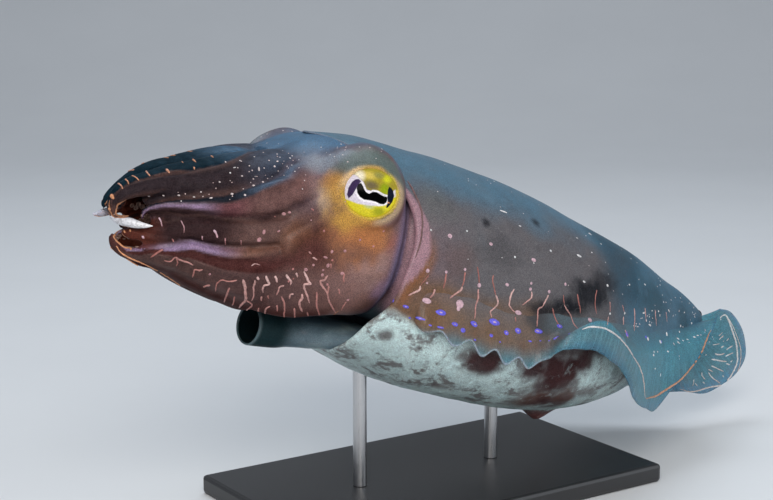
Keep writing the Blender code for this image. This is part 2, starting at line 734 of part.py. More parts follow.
def main():
    for obj in list(bpy.data.objects):
        bpy.data.objects.remove(obj)
    body = bpy.data.collections.new(MAIN)
    scraps = bpy.data.collections.new("cutters")
    bpy.context.scene.collection.children.link(body)
    bpy.context.scene.collection.children.link(scraps)

    skin = material("mantle_skin", (0.23, 0.19, 0.16), 0.45)
    face = material("head_skin", (0.25, 0.13, 0.11), 0.45)
    limb = material("arm_skin", (0.16, 0.08, 0.08), 0.42)
    pale = material("funnel_skin", (0.45, 0.50, 0.48), 0.40)
    web = material("fin_web", (0.22, 0.33, 0.36), 0.35)
    ball = material("eye_ball", (0.75, 0.76, 0.62), 0.12)
    black = material("stand_black", (0.02, 0.02, 0.022), 0.35)
    steel = material("stand_steel", (0.50, 0.50, 0.51), 0.30, 1.0)

    mantle = mantle_shape("mantle", body, skin)
    boolean(mantle, [ellipsoid("bump", BUMP_AT, BUMP_RADII, 1, scraps, None, 16, 10)], "UNION")
    mantle.data.materials.clear()
    mantle.data.materials.append(skin)
    head = head_shape(body, face)
    cutters = [mantle_shape("collar_gap", scraps, None, COLLAR_GAP), funnel_shape("funnel_gap", scraps, None, GAP, False)]
    for side, name in ((-1, "eye_left"), (1, "eye_right")):
        cutters.append(eye_opening(side, scraps))
        cutters.append(eyeball("socket", side, scraps, None, GAP))
        eyeball(name, side, body, ball)
    boolean(head, cutters, "DIFFERENCE")
    head.data.materials.clear()
    head.data.materials.append(face)
    funnel = funnel_shape("funnel", body, pale)
    boolean(funnel, [mantle_shape("funnel_cut", scraps, None, GAP)], "DIFFERENCE")

    for index in range(4):
        number = index + 1
        left = arm_base("arm_%d_left_base" % number, index, body, limb, scraps)
        mirrored(left, "arm_%d_right_base" % number)
        left = arm_tip("arm_%d_left_tip" % number, index, body, limb, scraps)
        if index in ARM_ENDS_RIGHT:
            other = arm_tip("arm_scrap", index, body, limb, scraps, ARM_ENDS_RIGHT[index])
            mirrored(other, "arm_%d_right_tip" % number)
            bpy.data.objects.remove(other)
        else:
            mirrored(left, "arm_%d_right_tip" % number)

    fin_shape("fin_left", FIN_LEFT, -1, body, web)
    fin_shape("fin_right", FIN_RIGHT, 1, body, web)

    stand_base(body, black)
    stand_rod("stand_rod_front", ROD_FRONT_X, body, steel, scraps)
    stand_rod("stand_rod_rear", ROD_REAR_X, body, steel, scraps)


main()
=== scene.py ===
"""Broadclub cuttlefish on a display stand: the skins, eyes, fins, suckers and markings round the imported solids.

The animal's own frame is in millimetres: x from the arm tips (negative) to the tail, y across with the left
side negative, z up through the back. to_world() pitches it head up and sets it over the stand, in metres.
"""
import json
import math
import random

import bmesh
import bpy
import numpy as np
from mathutils import Matrix, Vector, noise
from mathutils.bvhtree import BVHTree

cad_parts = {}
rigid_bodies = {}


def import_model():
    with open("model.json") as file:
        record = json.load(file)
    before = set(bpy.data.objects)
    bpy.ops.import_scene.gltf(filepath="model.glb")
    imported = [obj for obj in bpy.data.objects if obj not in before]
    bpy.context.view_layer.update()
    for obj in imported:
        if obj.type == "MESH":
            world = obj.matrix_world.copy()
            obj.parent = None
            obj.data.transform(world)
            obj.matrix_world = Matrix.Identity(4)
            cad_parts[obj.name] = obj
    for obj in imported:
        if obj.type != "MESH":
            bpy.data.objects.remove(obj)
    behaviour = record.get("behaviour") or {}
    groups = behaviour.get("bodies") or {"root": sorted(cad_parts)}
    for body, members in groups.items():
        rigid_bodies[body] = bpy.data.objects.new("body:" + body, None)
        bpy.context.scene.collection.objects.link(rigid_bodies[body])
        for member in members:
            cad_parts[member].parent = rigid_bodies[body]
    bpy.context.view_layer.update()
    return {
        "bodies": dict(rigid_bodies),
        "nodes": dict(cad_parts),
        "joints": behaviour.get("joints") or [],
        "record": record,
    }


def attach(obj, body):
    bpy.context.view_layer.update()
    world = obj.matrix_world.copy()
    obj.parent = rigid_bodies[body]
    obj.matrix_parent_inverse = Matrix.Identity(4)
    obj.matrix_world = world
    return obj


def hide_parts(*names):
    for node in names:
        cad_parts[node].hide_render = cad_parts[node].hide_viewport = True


bl_info = {
    "name": "Cuttlefish display model",
    "version": (1, 0, 0),
    "blender": (4, 5, 0),
    "location": "View3D > Sidebar > Cuttlefish",
    "description": "Builds the skins, eyes, fins, suckers and markings of a cuttlefish model",
    "category": "Add Mesh",
}

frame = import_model()

# How the animal's own frame sits in the world: its pitch, then the shift and the lift in metres.
PITCH = math.radians(15.2)
SHIFT_X = -0.030
LIFT = 0.1284
COS, SIN = math.cos(PITCH), math.sin(PITCH)
MM = 0.001
SIDES = ((-1, "left"), (1, "right"))

# The collar's inner lip as a share of the section. In millimetres along x: the ends of cup and neck, where the arms
# start, split and root, and the tail's end. ARM_SIDES is the count of points round an arm's section.
LIP = 0.945
CUP_END = -2.4
NECK_END = -2.8
ARM_START = -84.3
ARM_SPLIT = -124.0
ARM_ROOT = -71.0
ARM_SIDES = 28
TAIL_X = 227.0

# Left eye: centre, axis and radii, the lid's opening, and the bulge round it. Then the bump under the belly.
EYE_AT = (-47.5, 41.5, 27.5)
EYE_AXIS = (-0.46, 0.885, 0.06)
EYE_RADII = (15.6, 13.8, 15.8)
OPENING = (12.6, 11.3)
BULGE_AT = (-48.5, 35.0, 26.0)
BULGE_RADII = (23.2, 21.5, 24.6)
BUMP_X = 121.0

# Thickness of a fin at its root.
FIN_ROOT = 2.2

# Mantle: station x, half-width, top, bottom and level of the widest line.
MANTLE = (
    (-64, 44, 50.3, -46, -8), (-35, 56, 53.3, -52, -13), (-14, 61, 52.9, -58, -18), (5, 63, 52.2, -63, -20),
    (38, 64.5, 49.5, -66.5, -22), (60, 64, 46.5, -68, -22), (83, 61.5, 42, -68.5, -21), (105, 57.5, 37, -67, -19),
    (126, 51.5, 32.8, -63.5, -17), (146, 44, 28.2, -57, -16), (164, 36, 22.8, -49, -15),
    (182, 27.5, 16.8, -38.5, -13), (198, 20, 11.6, -29, -10), (212, 13, 6.6, -19.5, -7), (222, 7, 1.6, -11, -5),
    (227, 0.1, -3.4, -4.6, -4),
)
# Front edge of the mantle: angle round the body in degrees, 90 at the middle of the back, and its x.
COLLAR = (
    (-90, -31), (-65, -36), (-45, -38), (-25, -37), (-10, -32), (0, -29), (12, -26), (22, -24.5), (35, -27),
    (45, -33), (55, -41), (65, -48), (77, -56), (90, -63),
)
# Head: station x, half-width, top, bottom at the midline, widest level and drop of the cheek's lower edge.
HEAD = (
    (-84, 41, 38.5, -36, -1, 4), (-76, 43, 41, -33, 1, 8), (-66, 45.5, 44, -31.5, 2, 9),
    (-55, 48, 46.8, -29, 3, 8.5), (-45, 50, 47.6, -27, 4, 8), (-36, 50.5, 47.8, -26.5, 5, 7.5),
    (-29, 49.5, 47, -25.5, 5, 6), (-25, 47, 46, -23.5, 5, 3), (-22.5, 46.5, 45.5, -24, 5, 0),
    (-19, 50, 45, -29, 4, 0), (-13, 53, 45, -33, 3, 0), (-2.8, 53.5, 45, -33.5, 3, 0),
)
# Arm bundle: station x, half-width, top, bottom and thickness of an arm from its outer face inwards.
BUNDLE = (
    (-66, 44.4, 42.4, -34, 16), (-72, 43.6, 41.8, -36, 18), (-78, 42.4, 40.6, -38.2, 20), (-84, 41, 39.5, -40, 20),
    (-95, 38.5, 37, -38, 18), (-107, 34.5, 33, -34.9, 15.5), (-116, 31, 29.5, -32, 13.5),
    (-124, 27.5, 26, -28.8, 11.5), (-132, 23.5, 21, -26.6, 9.5),
)
# Outer outline of head and arms together, for places on the skin: x, half-width, top and bottom.
OUTLINE = (
    (-158, 15, 10, -24), (-140, 19.5, 17, -26), (-132, 23.5, 21, -27.6), (-124, 27.5, 26, -30.2),
    (-116, 31, 29.5, -33.5), (-107, 34.5, 33, -36.8), (-95, 38.5, 37, -40), (-84, 41, 39.5, -41.5),
    (-76, 43, 41, -41.5), (-66, 45.5, 44, -40.5), (-55, 48, 46.8, -37.5), (-45, 50, 47.6, -32.5),
    (-36, 50.5, 47.8, -28),
)
# Each arm's two edges as angles from the middle of the back in degrees, at the head and at the split.
ARM_EDGES = (
    ((1, 46), (1, 70)), ((46.8, 80), (71, 88)), ((80.6, 92), (88.6, 103)), ((92.6, 178.8), (103.9, 178.6)),
)
# Arm ends on the left: centre line from the split outwards, with the scale of the section there.
ARM_ENDS = (
    ((-132, -10, 14.2, 0.8), (-141.3, -10, 11.1, 0.62), (-150.7, -8.8, 7, 0.5), (-155.6, -7.8, 2.4, 0.36),
     (-156.6, -7.6, -2, 0.25), (-156.3, -8.6, -4.8, 0.19), (-155, -10, -6.2, 0.14), (-152.8, -12.5, -5.6, 0.11),
     (-150.2, -15, -4.2, 0.07)),
    ((-130, -19.5, 4, 0.82), (-136, -17, 2.6, 0.62), (-141, -14.5, 0.6, 0.46), (-143.5, -13, -2.2, 0.34),
     (-143, -12, -5.2, 0.12)),
    ((-130, -18.5, -6.9, 0.88), (-136, -15.4, -9, 0.82), (-141.2, -12.4, -11, 0.72), (-145.4, -10.4, -12.3, 0.58),
     (-148.6, -9.2, -12.4, 0.4), (-150.4, -8.8, -11.6, 0.16)),
    ((-131, -15.5, -19.2, 0.76), (-137.2, -13.8, -19.8, 0.58), (-142.6, -12, -21.2, 0.37),
     (-148.6, -10.8, -21, 0.24), (-153, -10.2, -18.6, 0.19), (-154.8, -10, -15.8, 0.14), (-154.4, -10, -13.3, 0.07)),
)
ARM_ENDS_RIGHT = {
    0: ((-132, -10, 14.5, 0.8), (-140, -9.8, 10.5, 0.6), (-147, -9.6, 4.5, 0.44), (-151.5, -9.4, -1, 0.3),
        (-152.6, -8.6, -4.8, 0.14)),
    1: ((-131, -18.5, 1.4, 0.8), (-139, -17, -2, 0.6), (-147.8, -13, -5.6, 0.42), (-153.3, -10.5, -7.4, 0.3),
        (-157.4, -9, -8.2, 0.15)),
    2: ((-129, -18.5, -6.9, 0.86), (-133.5, -15.4, -8.6, 0.72), (-137.5, -12.4, -10, 0.54),
        (-140.5, -10.8, -10.6, 0.36), (-142, -10.2, -10.4, 0.16)),
    3: ((-130, -15.5, -20, 0.82), (-135.5, -13.5, -20, 0.62), (-140, -11.5, -20.6, 0.42),
        (-143.5, -10.5, -19.6, 0.26), (-145, -10, -17, 0.18), (-144.6, -10, -14.8, 0.09)),
}
# Smooth white point under the first left arm: place and half-width.
TUSK = (
    (-157, -8.6, -6.6, 0.7), (-155.6, -9.6, -7.2, 1.15), (-153.6, -11.2, -7.6, 1.75), (-150.3, -14, -7.3, 2.1),
    (-147.8, -16, -7.4, 1.85), (-145.4, -18, -7.3, 1.3), (-143.4, -19.2, -7, 0.8), (-141.8, -20.6, -6.6, 0.15),
)
# Funnel: station x, half-width, top and bottom.
FUNNEL = (
    (-14, 38, -36, -53), (-24, 37, -36, -51), (-32, 32, -36, -51.5), (-40, 22, -36, -53), (-47, 14, -36, -54),
    (-54, 11.3, -36.4, -55.2), (-62, 11, -36, -55.8), (-69.5, 11.2, -35.8, -56),
)
# Fins: x of the root, then the margin's x, y and z. A ripple is added in front.
FIN_LEFT = (
    (-20, -20.5, -58.4, -19), (-12, -14, -65.5, -26), (6, 6, -69.5, -31.5), (26, 26, -70.5, -35),
    (45, 44, -71.5, -36.5), (56, 53, -75.5, -31), (66, 59, -80, -18.5), (77, 70, -82, -10.5), (89, 81, -81, -9),
    (101, 93, -78, -13.5), (113, 106, -71.5, -18.5), (125, 117, -67.5, -27), (135, 127, -63, -38),
    (145, 140, -56, -47.5), (154, 153, -50, -53), (163, 162, -46, -52.5), (173, 173, -44.5, -39.5),
    (185, 188, -38, -31), (197, 201, -32, -19.5), (208, 213, -25, -9), (218, 224, -16, 0.5), (222, 229, -12, 1.5),
)
FIN_RIGHT = (
    (-20, -20.5, 61.8, -20.5), (-12, -14, 66.5, -27), (6, 6, 70.5, -30), (26, 26, 73, -32), (45, 44, 76, -33),
    (62, 62, 80, -32), (80, 80, 82, -31), (98, 98, 82, -29), (114, 116, 79, -28), (130, 134, 73, -28),
    (144, 152, 65, -32), (157, 169, 56, -39), (170, 187, 45, -46), (182, 206, 31, -50.5), (192, 223, 18, -51),
    (200, 238, 9.5, -47.5), (206, 252, 7, -46.5), (211, 264, 6, -39.5), (215, 274, 6, -31), (218, 278, 6, -20),
    (220.5, 271, 6, -6), (222, 258, 6, 3.5), (222.6, 248, 6, 4.5),
)
# The fins' ripple in front: height, length, phase and the root's x where it ends.
RIPPLE_HEIGHT = 2.6
RIPPLE_LENGTH = 15.5
RIPPLE_PHASE = 1.0
RIPPLE_END = 58.0

# How far the left fin's margin curls down past its crest: x of the root and the drop.
CURL = (
    (-20, 0), (50, 0), (60, 2.5), (68, 8.5), (78, 13.5), (90, 15), (102, 14), (114, 12.5), (125, 10.5), (136, 7),
    (145, 3), (152, 0), (223, 0),
)

# Colour bands on head and arms: place x and the angle from the middle of the back of each band's lower edge.
TEAL_BAND = ((-160, 38), (-141, 34), (-129, 34), (-114, 30), (-98, 14), (-86, 5))
BROWN_BAND = ((-160, 70), (-135, 70), (-124, 71), (-112, 67), (-101, 58), (-92, 49), (-83, 37), (-70, 22))
DOTTED_BAND = ((-160, 77), (-128, 77), (-112, 75), (-102, 68), (-89, 57), (-80, 46), (-66, 30))
DUSKY_BAND = ((-160, 86), (-124, 86), (-108, 85), (-94, 83), (-81, 74), (-68, 62))
THIRD_BAND = ((-160, 101), (-122, 100), (-106, 97), (-92, 92.5), (-84, 88), (-76, 83), (-66, 76))
RIDGE_BAND = ((-160, 108), (-128, 107), (-117, 105.5), (-106, 102.5), (-96, 98.5), (-84, 94), (-76, 89), (-66, 82))
SHADE_BAND = ((-160, 120), (-133, 118), (-116, 117), (-105, 114), (-91, 108), (-76, 101), (-63, 98), (-50, 92))

# Camera: where it looks, how far off it stands, its angles in degrees, its lens and the picture's size.
LOOK_AT = (-0.030, 0.0, 0.130)
CAMERA = (0.85, -34.0, 11.0, 79.15, 36.0)
PICTURE = (773, 500)
# Step along a traced line in the picture; in millimetres, the longest gap that a line bridges, how near a mirrored
# place must lie to the skin, and how far from the middle a line stays on its own side.
CHAIN_STEP = 1.1
LONGEST_GAP = 3.2
MIRROR_REACH = 2.5
OWN_SIDE = 0.4

# Lines on the left side, placed as the camera sees them: kind, width in millimetres, then places in the picture.
WEB_LINES = (
    (0.5, 1.5, 243, 279.5, 244.8, 286, 245.5, 294, 245.5, 300, 241.7, 304.2, 239, 308),
    (0.3, 0.8, 245.5, 300, 250, 302.5, 252, 305.5, 247.5, 309.3, 244.2, 312.5),
    (0.5, 0.9, 255, 280, 254.8, 283, 253.6, 286.3, 253.8, 292.7, 253.2, 297.8, 251.3, 301),
    (1, 1.2, 257.4, 276.7, 258.7, 280),
    (0.9, 1.1, 266, 275.8, 267.3, 280, 269, 284, 264, 285.6, 262.8, 289, 263, 292.7),
    (1, 1.1, 275, 275.8, 276.3, 278.6, 277.2, 282.5), (0.9, 1.1, 286, 274.5, 288.2, 278, 291, 281.2, 290.4, 285),
    (0.8, 1, 296.2, 272.8, 297.7, 277.3), (0.8, 1.1, 303.8, 271.5, 306.2, 276, 308.3, 281.2, 310.3, 284, 304.5,
    284.4, 304.5, 288.8, 307, 295.3, 309.4, 303), (0.5, 0.8, 284, 285.6, 279.5, 287, 278.2, 291.4, 276.3, 295.3),
    (0.6, 0.9, 293.6, 294, 290.4, 294.6, 289.5, 299),
    (0.2, 0.9, 281.4, 296.5, 284, 303, 284.6, 309.4, 284, 314.5, 284.6, 321),
    (0.5, 1.3, 302, 294, 301.9, 298.5, 299.4, 301.7, 300, 306.8, 302.2, 311.7),
    (0.2, 0.9, 316.7, 292, 316.7, 299, 316.7, 306.8, 318.6, 312, 319.9, 317), (0.4, 1, 327.6, 275.4, 324.4, 280,
    320.5, 281.2, 322.4, 286.3, 327, 292.7, 328.8, 300.4, 332.7, 308, 336.2, 313.8),
    (0.3, 0.9, 328.8, 285.6, 327.6, 294), (0.4, 0.9, 261.5, 296.5, 261.3, 301), (0.2, 0.7, 268, 295.3, 268.6, 299),
    (0.2, 0.7, 259, 308, 256.4, 315.8), (0.3, 0.8, 269.9, 306.2, 266, 308.7, 265.1, 313.2, 265.4, 319),
    (0.2, 0.8, 276.9, 304.9, 277.3, 311.3), (0.2, 0.8, 273.7, 315, 272.4, 320.3), (0.2, 0.8, 294.2, 308, 294.9, 319),
    (0.2, 0.7, 307, 312, 309.4, 319), (0.2, 1, 229.5, 287.6, 227, 294, 225.6, 297.8, 224, 302.3),
    (0.1, 0.8, 234.6, 296.5, 233.3, 303, 232, 305.5),
    (0.2, 0.8, 237.2, 280, 232, 281.2, 227, 281.2, 221.8, 280, 217.3, 283, 216, 287, 215.6, 291.4),
    (0.3, 1.1, 210.3, 285, 206.4, 285.6, 203.2, 287),
    (0.2, 0.9, 202.6, 269.6, 199.4, 270.3, 194.9, 269.6, 193.6, 273.5, 192.3, 277.3),
    (0.3, 0.9, 193, 265.1, 188.5, 262.6, 182, 260.6, 177.6, 258.7, 175, 257.4, 170.5, 261.3, 164.1, 260.6),
    (0.1, 0.7, 176.3, 258.7, 177.6, 262.6, 176.3, 265.8),
    (0.1, 1, 162.8, 249.7, 159, 251.7, 155.1, 254.2, 150.6, 257.4), (0.4, 0.8, 309, 251.7, 311.5, 254.2),
    (0.7, 0.8, 312.8, 257.4, 317.3, 260), (0.2, 0.8, 330.8, 263.5, 331, 268.3),
    (0.2, 0.8, 344.2, 273.5, 343.6, 278.6, 343.8, 282.4), (0.2, 0.8, 338.5, 288.8, 339.7, 294),
    (0.2, 0.7, 346.2, 301.7, 342.3, 308, 341.7, 310.6), (0.8, 0.5, 251.3, 265.8, 255, 263.8, 260.3, 265.1),
)
WEB_RIM = (
    (0.9, 0.8, 116.5, 246, 121, 252.5, 130, 258, 140, 262, 150, 266.6, 162.8, 273.6, 175.6, 282, 188.5, 291.4, 201.3,
    300.4, 214.1, 306.8, 226.9, 311.9, 239.7, 316.4, 252.6, 320.2, 265.4, 323.4),
    (0.2, 0.7, 265.4, 323.4, 278.2, 325.4, 291, 325.8, 303.8, 324.1, 316.7, 321.5, 329.5, 317, 338.7, 310.9),
)
COLLAR_FOLD = (
    (0.3, 1, 407.5, 181, 411.5, 187.5, 415.3, 195, 420.8, 208.1, 422.5, 223.3, 420.8, 240.8, 415.3, 258.2),
)
FLANK_LINES = (
    (0, 0.4, 428.7, 275, 425, 280, 420.3, 285.8), (0.9, 1.1, 420.3, 286, 419.2, 290, 414.2, 292.5, 408.3, 295.5),
    (0.1, 0.8, 446, 274, 445, 281.7, 443.3, 288.3), (0.5, 1, 435, 289.2, 433.3, 294.2, 430, 297.5),
    (0.1, 0.8, 465, 272, 464.2, 280, 462, 286.7), (0.6, 1, 462, 286.7, 460.8, 290, 455, 294.2, 449.7, 298.3),
    (0, 0.6, 477.5, 266.7, 478.7, 276.7, 479.2, 283.3),
    (0.4, 0.9, 478.3, 289.2, 478, 298.3, 475.8, 305, 475.3, 313.3, 474.7, 319),
    (0.1, 0.7, 493.3, 275, 492.5, 280, 494.2, 288.3, 495.8, 295),
    (0.8, 0.9, 495.8, 295, 498, 302.5, 495, 307.5, 490.3, 311.7, 491.7, 317.5),
    (0.8, 0.9, 514.2, 289.2, 510.8, 295, 509.7, 301.7, 509.2, 305, 512.5, 310, 515, 312),
    (0.2, 0.7, 515, 316.7, 515.8, 321.7), (0.7, 0.8, 531.7, 291.7, 531.3, 297.5, 526.7, 301.7, 522.5, 305),
    (0.8, 0.8, 548.3, 295, 545, 301.7, 542.5, 306.7),
    (0.4, 0.8, 542.5, 306.7, 538.3, 309.2, 537.5, 316.7, 537, 326.7),
    (0.1, 0.7, 552.5, 308.3, 554.2, 315.8, 556.7, 321.7, 559.2, 325), (0.1, 0.5, 563.3, 295, 564.2, 305),
    (0.5, 0.7, 564.2, 305, 567.5, 310.8, 570.8, 315.8, 573.3, 323.3, 578.3, 329.2),
    (0.1, 0.7, 577.5, 294.2, 578.8, 303.3, 580, 307.5, 580.3, 313.3),
    (0.1, 0.6, 596.7, 290, 595.3, 298.3, 595.3, 306.7, 596.7, 314.2), (0.3, 0.5, 610, 301.7, 610, 311.7),
    (0.6, 0.6, 608.3, 316.7, 607.5, 325), (0.3, 0.5, 622.5, 305, 624, 312), (0.8, 0.7, 623.3, 316.7, 623.3, 325),
    (0.6, 0.6, 634.2, 308.3, 634.7, 316.7, 634.2, 326.7, 634.5, 330.8), (0.5, 0.6, 625, 330, 628.3, 338.3),
    (0.5, 0.5, 645, 308, 646, 322), (0.6, 0.5, 655, 310, 656.5, 326), (0.5, 0.4, 666, 312, 667, 322),
)
# Spots on the left side as the camera sees them: places in the picture, then length and height in millimetres.
BLUE_SPOTS = (
    (393.3, 300.8, 1.8, 0.7), (405.8, 306.7, 2.8, 1.2), (420.5, 318.7, 4.3, 1.2), (409.7, 318, 1.1, 0.6),
    (440.8, 312.5, 4.7, 2.3), (430.3, 325.3, 1.4, 0.7), (440.5, 327.5, 3, 0.8), (454.7, 324.2, 3.5, 1.7),
    (463, 330.3, 2.2, 1.9), (474.7, 324.2, 5.1, 2.3), (494.5, 322.2, 5.8, 2.7), (491.3, 335.5, 1.7, 1.4),
    (506.3, 332.8, 2.7, 1.9), (518, 330.8, 3.3, 2.3), (537.5, 331, 5.1, 2), (475, 340, 1.6, 0.8),
    (500, 342, 1.1, 0.6), (530, 341.2, 2, 0.7), (556.2, 337.8, 3, 1.4), (569.2, 333.8, 1.1, 0.6),
    (540.3, 340.8, 0.9, 0.5), (549.2, 340.8, 0.9, 0.5), (559.7, 326.3, 3.1, 1.9), (627, 334, 2, 3),
    (646, 337, 1.6, 1.2), (661, 341.5, 1.8, 1.2),
)
PALE_BLOBS = (
    (426.7, 300.8, 4.7, 2.7), (460, 304, 4.6, 4.4), (458.5, 308.5, 2.2, 2.6), (518.3, 312.7, 4.3, 2.2),
    (590, 320, 3.2, 2.2), (533.8, 260, 3, 1.9), (507.2, 284.7, 2.4, 1.6), (450, 236, 2.6, 2.2), (491, 244, 2.2, 1.6),
    (479.2, 285.3, 2.2, 2.2), (427.7, 270.8, 1.9, 2), (549.2, 291.7, 2, 1.8), (531.3, 283.3, 1.5, 1.5),
    (530.5, 289.2, 1.8, 1.8), (565.5, 284.2, 1.7, 1.7), (465, 269.5, 1.5, 1.5), (446.3, 272, 1.5, 1.5),
    (328, 265.5, 1.6, 2), (322.4, 275, 1.4, 1.6), (345, 251, 1.5, 1.3), (325.6, 257.4, 2.2, 1),
    (305.8, 269.6, 1.9, 1.6), (342.3, 273.5, 2, 1.6), (332, 251.7, 1.3, 1.6), (313.5, 265, 1.2, 1.2),
    (283.6, 213.8, 2.2, 1.6), (289.3, 212.3, 1.5, 1.2), (259.2, 239.8, 2, 2.4), (264, 232, 1.5, 2.3),
    (209.8, 274.3, 1, 1.4), (348, 300, 1.4, 1.2), (360, 240, 1.2, 1.2), (427, 283, 1, 1),
)
SKIN_MARKS = (
    (149, 196, 1.2, 0.7), (163.5, 195.6, 1.2, 0.7), (178.8, 195.4, 1.4, 0.8), (194, 197, 1.2, 0.8),
    (211, 198, 1.6, 0.9), (232, 194, 1.4, 1.2), (245, 195, 1.2, 1), (253.5, 185.6, 1.4, 1), (259, 169, 0.9, 2.4),
    (274.6, 166.4, 1, 1), (263, 182, 1.2, 0.8), (242, 176, 1, 0.8), (219.6, 182, 0.9, 0.8), (201, 192, 0.8, 0.8),
    (503.5, 211.5, 5, 0.9), (520, 226, 1.6, 0.7), (579.2, 255.8, 3.8, 1.4), (591.7, 252.5, 1.2, 0.7),
    (584.2, 281.7, 2, 1.1), (607.5, 285.5, 1.7, 1.5), (629.5, 284.7, 1.2, 1), (645, 284.5, 1.8, 0.9),
    (550.8, 250.8, 1.5, 1.3), (515, 257, 1.2, 1.1), (577, 238, 1.6, 0.6), (590, 234, 3, 0.7), (601, 244, 1.6, 0.6),
    (610, 313.7, 1.5, 1.3), (624.7, 313.3, 1.5, 1.3), (643.3, 313, 1.2, 1), (648, 338.9, 2.2, 2.4),
    (649.9, 325.1, 3.6, 1.1), (660.4, 341.7, 2.6, 2), (666.8, 334.3, 1.9, 2.5), (644.4, 312.8, 1.1, 1.1),
    (658.5, 311.3, 1.6, 1.1), (668.7, 310.4, 1.6, 1.1), (691.7, 323.3, 1.9, 1.3), (680.6, 326, 1.2, 1.5),
    (679.4, 331.9, 1, 1.5), (653.6, 355.1, 1.6, 1.3), (657.6, 351.8, 1.3, 1), (667.8, 351.5, 1.9, 0.9),
    (677.9, 338.6, 2.8, 0.9), (683, 340.6, 1.6, 0.7), (687.5, 339.4, 1.6, 0.8), (694, 337, 1.4, 1),
    (679, 343, 2.6, 0.8), (655, 368.5, 1.6, 1), (660.5, 375, 0.8, 1.8), (666.5, 333.5, 1.2, 1.8),
    (678, 342, 0.9, 1.2), (654, 352, 0.9, 1.4), (431, 230, 1.1, 1), (467, 231, 1.1, 0.9), (660, 285, 0.9, 0.7),
    (671, 300, 0.8, 0.7),
)
ARM_MARKS = (
    (0.9, 0.8, 159, 217.5, 161, 221.5, 162, 226.5), (0.6, 0.5, 181, 220.6, 184, 227, 184, 233),
    (0.9, 1.1, 213.5, 230, 216, 233, 217.5, 238), (0.3, 0.6, 225, 238, 225.5, 245), (0.3, 0.6, 241, 240, 241, 245),
    (0.6, 0.6, 202, 236, 202.6, 240), (0.2, 0.7, 172, 239, 174, 242),
)
ARM_BARS = (
    (0.2, 0.8, 145.6, 170.8, 150.2, 176.2), (0.1, 0.7, 131.4, 175.5, 135.6, 177.2, 139.2, 180.6),
    (0.1, 0.7, 124, 178.2, 127.4, 181, 128.9, 184.4), (0.2, 0.8, 117.3, 183, 121.2, 185.6, 122.8, 189),
    (0.2, 1.2, 166.4, 169.2, 169.6, 173), (0.1, 0.9, 192.6, 159.2, 195.8, 162.2),
    (0.1, 0.7, 210.5, 155.5, 213.5, 157.6), (0.1, 0.8, 194, 167, 194.4, 169.6), (0, 1.4, 111.6, 195.6, 114, 199),
    (0.1, 0.6, 226, 149, 229, 151), (0.1, 0.6, 181, 160.5, 183.4, 163),
)
SCOOP_BARS_AND_HIGHLIGHT = (
    (0, 1.1, 116.7, 236.8, 121.8, 238.2), (0.1, 1.2, 124.7, 239.1, 122.9, 243, 120.6, 246.2),
    # Painted highlight: the row from 142.4, 235.8 with full tone is a white-orange highlight in the scoop, not a bar.
    (0, 1.4, 129, 239.1, 130.3, 245, 130.9, 250.1), (1, 1.2, 142.4, 235.8, 143.9, 238.8),
    (0, 1, 124, 230.5, 125.2, 233), (0, 0.9, 130, 229.4, 130.6, 232), (0.1, 1.4, 137.2, 204.5, 141.3, 206.5),
    (0, 1.2, 128, 206, 129, 209.1), (0, 1.4, 120.3, 208.6, 123.4, 210.1), (0, 2, 111.4, 194.9, 113.4, 198.4),
    (0, 1.3, 109, 208, 110.2, 210.3), (0.6, 1.3, 99.8, 194.7, 102, 200, 104.4, 206),
    (0.1, 0.9, 102.4, 210.2, 104, 212),
)
